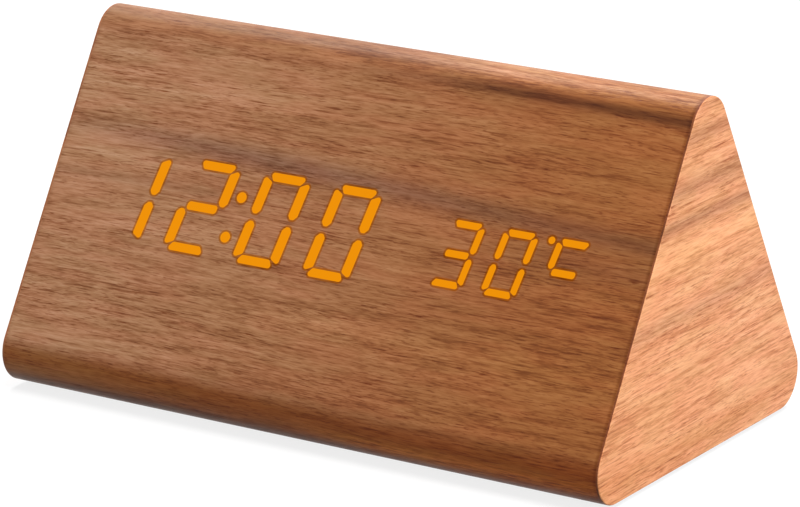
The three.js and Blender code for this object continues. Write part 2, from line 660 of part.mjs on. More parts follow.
mesh("rear_control_panel", cut(
  join(
    roundedPlate(panelWidth, panelHeight, panel.radius, 0, faceMiddle, -panel.thickness, 0),
    ...postPlaces.map((x) => rod(post.radius, x, faceMiddle, switchBase, -panel.thickness / 2))),
  ...buttonPlaces.map((x) => rod(button.radius + slideGap, x, faceMiddle, -panel.thickness - overrun,
    overrun, roundSides)),
  rod(jack.mouthRadius, jackPlace, faceMiddle, -panel.thickness - overrun, overrun, roundSides),
  ...panelScrewPlaces.flatMap((x) => [
    rod(screw.headRadius + counterbore.margin, x, faceMiddle, -counterbore.depth, overrun),
    rod(holeRadius, x, faceMiddle, -panel.thickness - overrun, overrun),
  ]),
  ...postPlaces.map((x) => rod(holeRadius, x, faceMiddle, switchBase - overrun,
    switchBase + screwBite + holeGap)),
), finishes.blackPlastic, rear.group);

panelScrewPlaces.forEach((x, i) => {
  mesh(`panel_screw_${i + 1}`, screwGeometry(x, faceMiddle, -panelHeadTop,
    panel.thickness + seatGap + screwBite - panelHeadTop), finishes.zincSteel, rear.group);
});

// Raised marks on the caps: an arrowhead up, a dot and an arrowhead down
const markSides = { up: 3, set: smallRoundSides, down: 3 };
const markTurns = { up: Math.PI, set: 0, down: 0 };
["up", "set", "down"].forEach((name, i) => {
  const x = buttonPlaces[i];
  const flangeTop = -panel.thickness - slideGap;
  const flangeFoot = flangeTop - button.flangeThickness;
  const mark = rod(button.markRadius, 0, 0, 0, button.proud + button.markHeight, markSides[name])
    .rotateZ(markTurns[name])
    .translate(x, faceMiddle, 0);
  mesh(`${name}_button`, join(
    rod(button.radius, x, faceMiddle, flangeFoot, button.proud, roundSides),
    rod(button.flangeRadius, x, faceMiddle, flangeFoot, flangeTop, roundSides),
    rod(button.stemRadius, x, faceMiddle, plungerTop + seatGap, flangeTop),
    mark), finishes.greyPlastic, rear.group);
  mesh(`${name}_switch_plunger`, rod(tactSwitch.plungerRadius, x, faceMiddle, plungerFoot, plungerTop),
    finishes.blackPlastic, rear.group);
  mesh(`${name}_switch_body`, cut(
    plate(tactSwitch.width, tactSwitch.width, x, faceMiddle, switchBase, switchTop),
    rod(tactSwitch.plungerRadius + slideGap, x, faceMiddle, plungerFoot - button.travel - slideGap,
      switchTop + overrun)), finishes.epoxyBlack, rear.group);
});

const boreFloor = -jackFront - jack.boreDepth;
mesh("dc_jack", cut(
  plate(jack.width, jack.width, jackPlace, faceMiddle, switchBase, -jackFront),
  rod(jack.boreRadius, jackPlace, faceMiddle, boreFloor, overrun - jackFront, roundSides),
), finishes.epoxyBlack, rear.group);
mesh("dc_jack_pin", rod(jack.pinRadius, jackPlace, faceMiddle, boreFloor + seatGap,
  -jackFront - jack.pinSetback), finishes.nickelSteel, rear.group);

mesh("control_board", cut(
  join(
    plate(controlWidth, controlBoard.height, 0, faceMiddle, -controlBack, -controlFront),
    plate(header.width, header.depth, 0, faceMiddle, -controlBack - header.height, -controlFront)),
  ...postPlaces.map((x) => rod(holeRadius, x, faceMiddle, -controlBack - overrun, 0)),
), finishes.boardGreen, rear.group);
postPlaces.forEach((x, i) => {
  const headTop = onControlBack + screw.headHeight;
  mesh(`board_screw_${i + 1}`, screwGeometry(x, faceMiddle, -headTop, headTop + switchBase + screwBite, -1),
    finishes.zincSteel, rear.group);
});

// On the control board's inner side
const buzzerPlace = buzzer.fromPost - postPlace;
mesh("buzzer", cut(
  rod(buzzer.radius, buzzerPlace, faceMiddle, -onControlBack - buzzer.height, -onControlBack, roundSides),
  rod(buzzer.holeRadius, buzzerPlace, faceMiddle, -onControlBack - buzzer.height - overrun,
    buzzer.holeDepth - onControlBack - buzzer.height),
), finishes.epoxyBlack, rear.group);
mesh("microcontroller", plate(controller.width, controller.width, postPlace - controller.fromPost, faceMiddle,
  -onControlBack - controller.height, -onControlBack), finishes.epoxyBlack, rear.group);
mesh("clock_crystal",
  new THREE.CylinderGeometry(crystal.radius, crystal.radius, crystal.length, smallRoundSides)
    .translate(postPlace - crystal.fromPost, faceMiddle + crystal.rise, -onControlBack - crystal.radius),
  finishes.nickelSteel, rear.group);

const beadMiddle = -onControlBack - thermistor.legLength;
const beadPlace = postPlace - thermistor.fromPost;
mesh("temperature_sensor", join(
  new THREE.SphereGeometry(thermistor.beadRadius, smallRoundSides, smallRoundSides / 2)
    .translate(beadPlace, faceMiddle - thermistor.drop, beadMiddle),
  ...[-1, 1].map((side) => rod(thermistor.legRadius, beadPlace + side * thermistor.legSpacing / 2,
    faceMiddle - thermistor.drop, beadMiddle, -onControlBack, coilWireSides)),
), finishes.beadGlass, rear.group);

// Ribbon cable, drawn in the section's plane from one board's header to the other's
function ribbonGeometry() {
  const ends = [[front, boardBack], [rear, controlBack]].map(([frame, depth]) => {
    const start = new THREE.Vector3(0, faceMiddle, -depth - header.height - seatGap)
      .applyMatrix4(frame.matrix);
    const inwards = new THREE.Vector3(0, 0, -1).transformDirection(frame.matrix);
    return { start, handle: start.clone().addScaledVector(inwards, ribbon.reach) };
  });
  const flat = [ends[0].start, ends[0].handle, ends[1].handle, ends[1].start]
    .map(({ y, z }) => new THREE.Vector2(y, z));
  const middleLine = new THREE.CubicBezierCurve(...flat);
  const edge = (side) => Array.from({ length: ribbonSteps + 1 }, (_, i) => {
    const point = middleLine.getPoint(i / ribbonSteps);
    const tangent = middleLine.getTangent(i / ribbonSteps);
    const offset = side * ribbon.thickness / 2;
    return [point.x - tangent.y * offset, point.y + tangent.x * offset];
  });
  return prism(outlineShape([...edge(-1), ...edge(1).reverse()]), -ribbon.width / 2, ribbon.width / 2)
    .applyMatrix4(alongX);
}
mesh("ribbon_cable", ribbonGeometry(), finishes.ribbonGrey, body);

// Battery leads: from the top of a contact's tab to the lower edge of the control board's inner side
const tabTip = [(contact.thickness - bayLength) / 2, trayTop + tabRise + seatGap];
const leadRoutes = {
  red_battery_lead: {
    place: cellA, padAlong: 12, between: [[-25, -14, 22], [-20, -3, 24.5], [-14, 6, 26.5]],
  },
  black_battery_lead: {
    place: cellD, padAlong: 9, between: [[-24, 15.5, 21], [-17, 11.5, 24], [-9, 10, 26.5]],
  },
};
const padDrop = 5.2;

function leadGeometry({ place, between, padAlong }) {
  const [tabX, tabZ] = tabTip;
  const pad = new THREE.Vector3(padAlong, faceMiddle - padDrop, -onControlBack - lead.radius);
  const approach = pad.clone().setZ(pad.z - 2 * lead.radius);
  const points = [
    new THREE.Vector3(tabX, place, tabZ),
    new THREE.Vector3(tabX, place, tabZ + 2 * lead.radius),
    ...between.map((point) => new THREE.Vector3(...point)),
    approach.applyMatrix4(rear.matrix),
    pad.applyMatrix4(rear.matrix),
  ];
  return new THREE.ExtrudeGeometry(roundWire(lead.radius, lead.sides), {
    steps: lead.steps, bevelEnabled: false, extrudePath: new THREE.CatmullRomCurve3(points),
  });
}
Object.entries(leadRoutes).forEach(([name, route]) => {
  mesh(name, leadGeometry(route), name.startsWith("red") ? finishes.redLead : finishes.blackLead, body);
});

export default clock;
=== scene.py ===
import math

import bmesh
import bpy
from mathutils import Matrix, Vector


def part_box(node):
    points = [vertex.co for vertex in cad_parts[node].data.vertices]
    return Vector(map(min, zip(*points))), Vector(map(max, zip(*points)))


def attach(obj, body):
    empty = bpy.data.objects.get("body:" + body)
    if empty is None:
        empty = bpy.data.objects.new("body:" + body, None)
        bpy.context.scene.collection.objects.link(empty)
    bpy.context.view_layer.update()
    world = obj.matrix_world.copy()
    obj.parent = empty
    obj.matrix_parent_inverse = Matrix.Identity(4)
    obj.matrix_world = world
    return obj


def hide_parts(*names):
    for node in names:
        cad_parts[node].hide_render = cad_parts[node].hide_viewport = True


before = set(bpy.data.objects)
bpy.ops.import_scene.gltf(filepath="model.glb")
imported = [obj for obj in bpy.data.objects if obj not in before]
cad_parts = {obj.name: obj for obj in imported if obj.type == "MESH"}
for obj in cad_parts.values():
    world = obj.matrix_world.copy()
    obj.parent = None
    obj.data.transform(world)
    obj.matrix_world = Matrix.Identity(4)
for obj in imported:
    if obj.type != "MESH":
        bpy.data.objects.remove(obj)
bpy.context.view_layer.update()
print("frame loaded")

mm = 0.001
scene = bpy.context.scene


# sizes written in millimetres, in metres
def metres(sizes):
    if isinstance(sizes, dict):
        return {name: metres(size) for name, size in sizes.items()}
    if isinstance(sizes, (tuple, list)):
        return tuple(metres(size) for size in sizes)
    return sizes * mm


# the four corners of a spacing
def cornersOf(width, height):
    return [(sx * width / 2, sy * height / 2) for sx, sy in ((-1, -1), (1, -1), (-1, 1), (1, 1))]


# sizes that several pieces share
body = {
    "halfLength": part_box("right_end_veneer")[1].x,
    "sleeveEnd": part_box("wood_sleeve")[1].x,
    "bottom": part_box("wood_sleeve")[0].z,
    **metres({
        "side": 98,  # side of the triangular section with its corners still sharp
        "cornerRadius": 7.5, "leastRadius": 0.5, "wall": 6,
        "shoulder": 0.25,  # first point on the flat, so that the round's shading ends there
        "overrun": 1,  # how far a cut runs past the face that it opens
        "screwHole": 1.3, "screwBite": 3.3,  # round a shank, and how deep its hole goes
        "counterbore": 2.3, "counterboreDepth": 1.3,
        "sliver": 0.003,  # edges shorter than this are taken out after a cut
    }),
}
screwPlaces = metres({
    "base_screw": cornersOf(70, 52), "display_screw": cornersOf(110, 33),
    "panel_screw": ((-29.6, 0), (29.6, 0)), "board_screw": ((-23, 0), (23, 0)),
})
cornerSteps = 28
sharpAngle = math.radians(40)  # edges from this angle on are rounded
tilt = math.radians(60)  # of each sloping face


# a frame at the middle of a sloping face: x along it, y up the slope, z out of it
def slopeFrame(turn):
    lowerCorner = Matrix.Translation((0, -body["side"] / 2, 0)) @ Matrix.Rotation(tilt, 4, "X")
    heading = Matrix.Translation((0, 0, body["bottom"])) @ Matrix.Rotation(turn, 4, "Z")
    return heading @ lowerCorner @ Matrix.Translation((0, body["side"] / 2, 0))


frontSlope = slopeFrame(0)
rearSlope = slopeFrame(math.pi)
baseFrame = Matrix.Translation((0, 0, body["bottom"]))


# mesh tools
def meshFrom(vertices, faces, place=Matrix()):
    mesh = bpy.data.meshes.new("shape")
    mesh.from_pydata([tuple(v) for v in vertices], [], faces)
    mesh.transform(place)
    mesh.update()
    return mesh


# loops of points joined one after the other: as a ring, or capped at both ends
def loopsMesh(loops, place=Matrix(), ring=False):
    count = len(loops[0])
    vertices = [point for loop in loops for point in loop]
    faces = []
    for k in range(len(loops) if ring else len(loops) - 1):
        near, far = k * count, (k + 1) % len(loops) * count
        faces += [(near + i, near + (i + 1) % count, far + (i + 1) % count, far + i) for i in range(count)]
    if not ring:
        faces += [tuple(reversed(range(count))), tuple(range(len(vertices) - count, len(vertices)))]
    return meshFrom(vertices, faces, place)


def prismMesh(outline, low, high):
    return loopsMesh([[(x, y, z) for x, y in outline] for z in (low, high)])


def circle(radius, sides=64, x=0, y=0, start=0.0):
    turns = [start + 2 * math.pi * i / sides for i in range(sides)]
    return [(x + radius * math.cos(a), y + radius * math.sin(a)) for a in turns]


def rectangle(width, height, x=0, y=0):
    return [(x + sx * width / 2, y + sy * height / 2) for sx, sy in ((-1, -1), (1, -1), (1, 1), (-1, 1))]


def plateMesh(width, height, low, high, x=0, y=0):
    return prismMesh(rectangle(width, height, x, y), low, high)


def blockMesh(x0, x1, y0, y1, low, high):
    return plateMesh(x1 - x0, y1 - y0, low, high, (x0 + x1) / 2, (y0 + y1) / 2)


def rodMesh(radius, low, high, x=0, y=0):
    return prismMesh(circle(radius, x=x, y=y), low, high)


# at each place, a rod for each radius with its two heights
def rodMeshes(places, *sizes):
    return [rodMesh(*size, x, y) for x, y in places for size in sizes]


# a round piece from its (radius, height) points, none of them on the axis
def latheMesh(profile, place=Matrix(), sides=64):
    return loopsMesh([[(x, y, z) for x, y in circle(r, sides)] for r, z in profile], place)


# a tube along points, its rings carried on without a twist
def tubeMesh(points, radius, sides=10):
    loops, normal = [], (points[1] - points[0]).orthogonal()
    for i, point in enumerate(points):
        tangent = (points[min(i + 1, len(points) - 1)] - points[max(i - 1, 0)]).normalized()
        normal = (normal - tangent * normal.dot(tangent)).normalized()
        sideways = tangent.cross(normal)
        loops.append([point + normal * x + sideways * y for x, y in circle(radius, sides)])
    return loopsMesh(loops)


# gives all of a mesh one of its piece's materials
def marked(mesh, index):
    for face in mesh.polygons:
        face.material_index = index
    return mesh


# rounds every corner of a convex, counter-clockwise outline
def roundedOutline(points, radius, steps=6):
    outline = []
    for i, corner in enumerate(points):
        here = Vector(corner)
        toLast = (Vector(points[i - 1]) - here).normalized()
        toNext = (Vector(points[(i + 1) % len(points)]) - here).normalized()
        half = toLast.angle(toNext) / 2
        centre = here + (toLast + toNext).normalized() * radius / math.sin(half)
        spoke = here + toLast * radius / math.tan(half) - centre
        start, sweep = math.atan2(spoke.y, spoke.x), math.pi - 2 * half
        for step in range(steps + 1):
            angle = start + sweep * step / steps
            outline.append((centre.x + radius * math.cos(angle), centre.y + radius * math.sin(angle)))
    return outline


# a convex outline moved outwards by a margin
def grownOutline(points, margin):
    edges = []
    for i, (x, y) in enumerate(points):
        nextX, nextY = points[(i + 1) % len(points)]
        length = math.hypot(nextX - x, nextY - y)
        normalX, normalY = (nextY - y) / length, (x - nextX) / length
        edges.append((normalX, normalY, normalX * x + normalY * y + margin))
    grown = []
    for i, (ax, ay, reachA) in enumerate(edges):
        bx, by, reachB = edges[i - 1]
        det = bx * ay - by * ax
        grown.append(((reachB * ay - reachA * by) / det, (bx * reachA - ax * reachB) / det))
    return grown


def bareObject(name, data):
    made = bpy.data.objects.new(name, data)
    scene.collection.objects.link(made)
    return made


# a new modifier, node or lamp with its settings made
def withSettings(made, **settings):
    for key, value in settings.items():
        setattr(made, key, value)
    return made


def bevel(width, segments):
    return {"width": width, "segments": segments, "limit_method": "ANGLE", "angle_limit": sharpAngle}


# what a row of modifiers of one kind makes of a mesh
def modified(mesh, kind, row):
    work = bareObject("work", mesh)
    for settings in row:
        withSettings(work.modifiers.new("step", kind), **settings)
    bpy.context.view_layer.update()
    done = bpy.data.meshes.new_from_object(work.evaluated_get(bpy.context.evaluated_depsgraph_get()))
    bpy.data.objects.remove(work)
    return done


# cuts meshes out of another, or adds them to it
def combined(mesh, others, operation="DIFFERENCE"):
    tools = [bareObject("tool", other) for other in others]
    row = [{"object": tool, "operation": operation, "solver": "EXACT"} for tool in tools]
    done = modified(mesh, "BOOLEAN", row)
    for tool in tools:
        bpy.data.objects.remove(tool)
    work = bmesh.new()  # slivers left by a cut would spoil the rounding of its edges
    work.from_mesh(done)
    bmesh.ops.remove_doubles(work, verts=work.verts, dist=body["sliver"])
    bmesh.ops.dissolve_degenerate(work, edges=work.edges, dist=body["sliver"])
    work.to_mesh(done)
    work.free()
    return done


# a blank with pieces joined to it, others cut from it and its edges rounded, then put in its place
def shaped(blank, joins=(), cuts=(), soft=0.0, segments=2, place=Matrix()):
    if joins:
        blank = combined(blank, joins, "UNION")
    if cuts:
        blank = combined(blank, cuts)
    if soft:
        blank = modified(blank, "BEVEL", [bevel(soft, segments)])
    blank.transform(place)
    return blank


def joined(meshes):
    work = bmesh.new()
    for mesh in meshes:
        work.from_mesh(mesh)
    whole = bpy.data.meshes.new("joined")
    work.to_mesh(whole)
    work.free()
    return whole


def shadeByAngle(mesh, degrees):
    work = bmesh.new()
    work.from_mesh(mesh)
    bmesh.ops.recalc_face_normals(work, faces=work.faces)
    for face in work.faces:
        face.smooth = True
    for edge in work.edges:
        edge.smooth = len(edge.link_faces) == 2 and edge.calc_face_angle(0) < math.radians(degrees)
    work.to_mesh(mesh)
    work.free()


finishes = {}


# adds a piece in the place of a node of the frame
def addPiece(name, mesh, finishNames, replaced, bodyName="body", degrees=35):
    shadeByAngle(mesh, degrees)
    for finish in finishNames:
        mesh.materials.append(finishes[finish])
    piece = bareObject(name, mesh)
    normals = piece.modifiers.new("normals", "WEIGHTED_NORMAL")  # keeps flat faces flat beside rounded edges
    normals.keep_sharp, normals.weight = True, 100
    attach(piece, bodyName)
    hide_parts(replaced)


# material tools
def newFinish(name):
    material = finishes[name] = bpy.data.materials.new(name)
    material.use_nodes = True
    tree = material.node_tree
    return tree, next(n for n in tree.nodes if n.type == "BSDF_PRINCIPLED")


# sets or links a node's inputs, in the order or by the names given; colours are given without alpha
def setInputs(tree, node, inputs):
    for key, value in inputs.items():
        socket = node.inputs[key]
        if isinstance(value, bpy.types.NodeSocket):
            tree.links.new(value, socket)
        else:
            socket.default_value = (*value, 1) if socket.type == "RGBA" else value


# makes a node and gives one of its outputs
def addNode(tree, kind, inputs, output=0, **settings):
    node = withSettings(tree.nodes.new(kind), **settings)
    setInputs(tree, node, inputs)
    return node.outputs[output]


def objectPlace(tree):
    return addNode(tree, "ShaderNodeTexCoord", {}, "Object")


def stretched(tree, vector, scale, shift=(0, 0, 0)):
    return addNode(tree, "ShaderNodeMapping", {"Vector": vector, "Scale": scale, "Location": shift})


def noise(tree, vector, scale=1.0, detail=2.0, roughness=0.5):
    inputs = {"Vector": vector, "Scale": scale, "Detail": detail, "Roughness": roughness}
    return addNode(tree, "ShaderNodeTexNoise", inputs, "Fac")


def calc(tree, operation, a, b=0.0, c=0.0):
    return addNode(tree, "ShaderNodeMath", {0: a, 1: b, 2: c}, operation=operation)


def ranged(tree, value, fromLow, fromHigh, toLow=0.0, toHigh=1.0):
    inputs = {"Value": value, "From Min": fromLow, "From Max": fromHigh, "To Min": toLow, "To Max": toHigh}
    return addNode(tree, "ShaderNodeMapRange", inputs, interpolation_type="SMOOTHSTEP")


def blended(tree, factor, a, b, kind="MIX"):
    return addNode(tree, "ShaderNodeMix", {0: factor, 6: a, 7: b}, 2, data_type="RGBA", blend_type=kind)


def multiplied(tree, colour, tint):
    return blended(tree, 1.0, colour, tint, "MULTIPLY")


# part of a colour multiplied by a tint
def tinted(tree, factor, colour, tint):
    return blended(tree, factor, colour, multiplied(tree, colour, tint))


def coloured(tree, value, stops):
    colour = addNode(tree, "ShaderNodeValToRGB", {0: value})
    elements = colour.node.color_ramp.elements
    while len(elements) < len(stops):
        elements.new(0.5)
    for element, (position, stop) in zip(elements, stops):
        element.position, element.color = position, (*stop, 1)
    return colour


def bumped(tree, height, strength, distance):
    return addNode(tree, "ShaderNodeBump", {"Height": height, "Strength": strength, "Distance": distance})


def attribute(tree, name):
    return addNode(tree, "ShaderNodeAttribute", {}, "Fac", attribute_name=name)


# what all wood shares
wood = {
    "noiseRoughness": 0.55,
    "wander": (3.1, 1.0), "fleck": (1.9, 1.0), "dash": (5.7, 1.5), "patch": (8.3, 1.0),  # shift and detail
    "shiftCycle": 7,  # a layer's noise is shifted by its own frequency, less whole cycles
    "fleckEdges": (0.35, 0.65), "patchEdges": (0.36, 0.56), "patchStretch": 10,
    "toneShare": 0.4, "relief": 0.06 * mm,  # the tone's share in the relief, and its depth
    "toneEdges": (0.2, 0.8),  # between which the roughness changes
    "endEdges": (-0.01, 0.01),  # between which the left edge's tint turns into the right one's
}


# wood: long fibres, streaks, bands and short dark pores along one axis, in object space so that they run on
# round corners, with painted shade and painted highlight in some of the bands; gives its colour, relief and
# tone
def woodNodes(tree, look):
    place = objectPlace(tree)
    along = Vector(look["along"])
    across = Vector((1, 1, 1)) - along

    def grain(alongPer, acrossPer, shift, detail=2.0):
        scale = tuple(along * alongPer + across * acrossPer)
        return noise(tree, stretched(tree, place, scale, (shift,) * 3), 1.0, detail, wood["noiseRoughness"])

    def vectorMath(operation, inputs, output=0):
        return addNode(tree, "ShaderNodeVectorMath", inputs, output, operation=operation)

    wander = calc(tree, "SUBTRACT", grain(*look["wander"], *wood["wander"]), 0.5)
    drift = calc(tree, "MULTIPLY", wander, look["drift"])
    place = vectorMath("ADD", {0: place, 1: vectorMath("SCALE", {0: look["up"], "Scale": drift})})

    tone = 0.5 - sum(weight for *rest, weight in look["layers"]) / 2
    for alongPer, acrossPer, weight in look["layers"]:
        layer = grain(alongPer, acrossPer, alongPer % wood["shiftCycle"])
        tone = calc(tree, "MULTIPLY_ADD", layer, weight, tone)
    stops = [(at, tuple(b * t for b, t in zip(look["base"], tint))) for at, tint in look["stops"]]
    colour = coloured(tree, tone, stops)

    sideways, upwards = (addNode(tree, "ShaderNodeSeparateXYZ", {0: place}, axis)
                         for axis in (look["fadeAxis"], 2))
    # from one end of the face to the other: the wood's own tone, and on the front also painted sheen making
    # the left end paler
    change = blended(tree, ranged(tree, sideways, *look["toneAndSheenEdges"]), look["toneAndSheenStart"], look["toneAndSheenEnd"])
    colour = multiplied(tree, colour, change)
    height = vectorMath("DOT_PRODUCT", {0: place, 1: look["up"]}, "Value")
    height = calc(tree, "SUBTRACT", height, look["upStart"])
    porous = 1.0
    for each in look["streaksAndPaintedLight"]:
        middle = calc(tree, "MULTIPLY_ADD", sideways, each.get("tilt", 0.0), each["height"] * mm)
        offset = calc(tree, "DIVIDE", calc(tree, "SUBTRACT", height, middle), each["halfWidth"] * mm)
        mask = calc(tree, "EXPONENT", calc(tree, "MULTIPLY", calc(tree, "MULTIPLY", offset, offset), -1.0))
        for key, axis in (("fade", sideways), ("above", upwards)):
            if key in each:
                mask = calc(tree, "MULTIPLY", mask, ranged(tree, axis, *metres(each[key])))
        colour = tinted(tree, mask, colour, each["tint"])
        if "calm" in each:
            porous = calc(tree, "MULTIPLY_ADD", mask, -each["calm"], 1.0)
    # painted shade on the lower round, from the foot's upper edge down
    if "foot" in look:
        foot = ranged(tree, height, *metres(look["foot"]["edges"]))
        colour = tinted(tree, foot, colour, look["foot"]["tint"])
    fleck = ranged(tree, grain(*look["fleck"], *wood["fleck"]), *wood["fleckEdges"])
    colour = tinted(tree, fleck, colour, look["fleckTint"])

    pore = 0.0
    for alongPer, acrossPer, low, high, depth, patchPer in look["pores"]:
        dashes = ranged(tree, grain(alongPer, acrossPer, *wood["dash"]), low, high, 0.0, depth)
        patches = grain(patchPer, wood["patchStretch"] * patchPer, *wood["patch"])
        pore = calc(tree, "MULTIPLY_ADD", dashes, ranged(tree, patches, *wood["patchEdges"]), pore)
    pore = calc(tree, "MULTIPLY", pore, porous)
    colour = tinted(tree, pore, colour, look["poreTint"])
    return colour, calc(tree, "SUBTRACT", calc(tree, "MULTIPLY", tone, wood["toneShare"]), pore), tone


def woodSurface(name, look, glow=None):
    tree, shader = newFinish(name)
    colour, relief, tone = woodNodes(tree, look)
    endways = addNode(tree, "ShaderNodeSeparateXYZ", {0: objectPlace(tree)})
    side = ranged(tree, endways, *wood["endEdges"])
    edgeTint = blended(tree, side, look["leftEdgeTint"], look["rightEdgeTint"])
    colour = tinted(tree, ranged(tree, calc(tree, "ABSOLUTE", endways), *look["edge"]), colour, edgeTint)
    inputs = {"Normal": bumped(tree, relief, look["bump"], wood["relief"]),
              "Roughness": ranged(tree, tone, *wood["toneEdges"], *look["roughness"]),
              "Specular IOR Level": look["gloss"]}
    if glow:
        light = attribute(tree, "glow")
        rim, core = (ranged(tree, light, *glow[edges]) for edges in ("rimEdges", "coreEdges"))
        colour = blended(tree, core, tinted(tree, rim, colour, glow["rimTint"]), glow["underColour"])
        inputs |= {"Emission Color": blended(tree, core, glow["rimColour"], glow["colour"]),
                   "Emission Strength": rim, "Specular IOR Level": glow["gloss"]}
    setInputs(tree, shader, {**inputs, "Base Color": colour})


# a band along the face, a streak of the wood, except on the front's rounded edges, where bands are painted
# shade and painted highlight: its height up the face and its half width in millimetres, and perhaps its
# rise to the right as tilt, the places between which it comes in as fade, the same by height over the ground
# as above, and the share of pores that it leaves out as calm
def band(height, halfWidth, tint, **rest):
    return {"height": height, "halfWidth": halfWidth, "tint": tint, **rest}


walnutLook = {
    "along": (1, 0, 0), "wander": (9, 25), "drift": 3 * mm,
    "layers": ((4, 75, 0.5), (22, 330, 0.56), (85, 1250, 0.78), (320, 3300, 0.9)),  # per metre, weight
    "up": (0, 0.5, 0.8660254), "upStart": -0.02363, "fadeAxis": 0,
    "streaksAndPaintedLight": (
        band(60.3, 2.6, (0.66, 0.68, 0.84), tilt=-0.04, fade=(-100, -16)),
        # partly a dark streak of the wood, partly painted shade where the top round's sheen ends
        band(85.2, 1.5, (0.38, 0.3, 0.24), tilt=-0.016, fade=(-22, 44)),
        # painted highlight: the sheen along the top round, from its middle to the right end
        band(89.6, 2.7, (1.24, 1.42, 1.6), fade=(-8, 30)),
        band(52.0, 1.4, (0.86, 0.84, 0.84), fade=(0, -40)),
        band(51.0, 3.0, (0.8, 0.8, 0.86), fade=(30, 62)),
        band(73.5, 3.4, (1.04, 1.05, 1.07)),
        band(43.5, 2.6, (1.05, 1.06, 1.08)),
        band(28.6, 3.2, (1.18, 1.28, 1.34), fade=(-50, 10)),
        # painted shade on the top round's left part, beside its painted highlight
        band(89.8, 2.9, (0.62, 0.57, 0.48), fade=(34, -14)),
        # painted shade: this band and the next darken the lower round, which faces away from the lamps
        band(12.0, 2.2, (0.86, 0.82, 0.78)),
        band(10.2, 1.3, (0.84, 0.82, 0.74), fade=(32, 10)),
        # a lighter narrow strip on the lower round's right part, from 2.4 mm over the ground up
        band(7.5, 1.2, (1.88, 2.3, 2.3), fade=(-6, 26), above=(2.4, 5.0)),
        # painted shade along the lowest part of the lower round, next to the floor
        band(5.5, 0.9, (0.42, 0.39, 0.35)),
    ),
    # painted shade: the lower round turns a darker, deeper brown from 13 mm up the face downwards
    "foot": {"edges": (13, 9.5), "tint": (0.96, 0.68, 0.34)},
    "pores": (  # per metre along and across, threshold's edges, depth, patches per metre
        (150, 2600, 0.58, 0.67, 0.62, 15), (420, 4000, 0.55, 0.68, 0.6, 30)),
    "poreTint": (0.44, 0.22, 0.06), "base": (0.35, 0.149, 0.0545),
    "stops": ((0.05, (0.38, 0.26, 0.18)), (0.3, (0.72, 0.62, 0.53)), (0.5, (1, 1, 1)),
              (0.72, (1.2, 1.31, 1.46)), (1.0, (1.38, 1.62, 2.0))),
    # left end paler and pinker, right end deeper brown: partly the wood's tone, partly painted sheen
    "toneAndSheenEdges": (-0.075, 0.075), "toneAndSheenStart": (1.12, 1.26, 1.62), "toneAndSheenEnd": (0.9, 0.72, 0.5),
    "fleck": (60, 260), "fleckTint": (1.04, 0.96, 0.98),
    "edge": (0.0734, 0.0742), "leftEdgeTint": (0.92, 0.9, 0.88), "rightEdgeTint": (0.72, 0.61, 0.45),
    "bump": 0.35, "roughness": (0.5, 0.36), "gloss": 0.15,
}
endLook = {
    "along": (0, 1, 0), "wander": (12, 30), "drift": 2.4 * mm,
    "layers": ((5, 90, 0.22), (18, 380, 0.4), (70, 1300, 0.75), (280, 3300, 0.85)),
    "up": (0, 0, 1), "upStart": 0.001, "fadeAxis": 1,
    "streaksAndPaintedLight": (
        band(76.0, 1.0, (0.84, 0.8, 0.78)), band(70.5, 1.7, (0.74, 0.7, 0.68)),
        band(60.0, 2.4, (0.71, 0.68, 0.66)), band(52.6, 1.6, (0.68, 0.66, 0.65)),
        band(46.0, 3.2, (1.12, 1.18, 1.17), calm=0.9), band(33.2, 2.1, (0.84, 0.84, 0.86)),
        band(14.0, 1.8, (1.05, 1.08, 1.1)), band(5.0, 2.6, (0.89, 0.82, 0.72)),
    ),
    "pores": ((62, 1700, 0.6, 0.68, 0.52, 14), (150, 2600, 0.59, 0.68, 0.5, 18),
              (420, 4000, 0.56, 0.68, 0.5, 36)),
    "poreTint": (0.5, 0.31, 0.18), "base": (0.71, 0.32, 0.145),
    "stops": ((0.05, (0.45, 0.33, 0.25)), (0.3, (0.77, 0.68, 0.6)), (0.5, (1, 1, 1)),
              (0.75, (1.16, 1.26, 1.38)), (1.0, (1.26, 1.5, 1.8))),
    "toneAndSheenEdges": (-0.04, 0.04), "toneAndSheenStart": (1.0, 1.0, 0.96), "toneAndSheenEnd": (1.0, 1.02, 1.04),
    "fleck": (70, 280), "fleckTint": (1.03, 0.96, 1.0),
    "edge": (0.07487, 0.07475), "leftEdgeTint": (0.5, 0.42, 0.38), "rightEdgeTint": (0.31, 0.2, 0.15),
    "bump": 0.3, "roughness": (0.52, 0.4), "gloss": 0.15,
}
litLook = {
    "colour": (0.86, 0.283, 0.0), "rimColour": (0.08, 0.022, 0.0), "underColour": (0.01, 0.004, 0.001),
    "rimTint": (0.74, 0.55, 0.24), "rimEdges": (0.05, 0.45), "coreEdges": (0.55, 0.95), "gloss": 0.02,
}
woodSurface("walnutVeneer", walnutLook)
woodSurface("endVeneer", endLook)
woodSurface("litVeneer", walnutLook, glow=litLook)

noiseEdges = (0.3, 0.7)  # between which nearly all of a noise lies
slowShare, fineShare = 0.55, 0.45  # of the two noises in a moulded surface's tone


# from a look's dark colour to its light one
def shaded(tree, value, look, low=0.35, high=0.65):
    return coloured(tree, value, ((low, look["dark"]), (high, look["light"])))


# a shader's colour, its roughness by one noise and its relief by another
def setSurface(tree, shader, look, colour, change, height, **rest):
    setInputs(tree, shader, {
        "Base Color": colour, "Roughness": ranged(tree, change, *noiseEdges, *look["roughness"]),
        "Normal": bumped(tree, height, look["bump"], look["relief"] * mm), **rest})


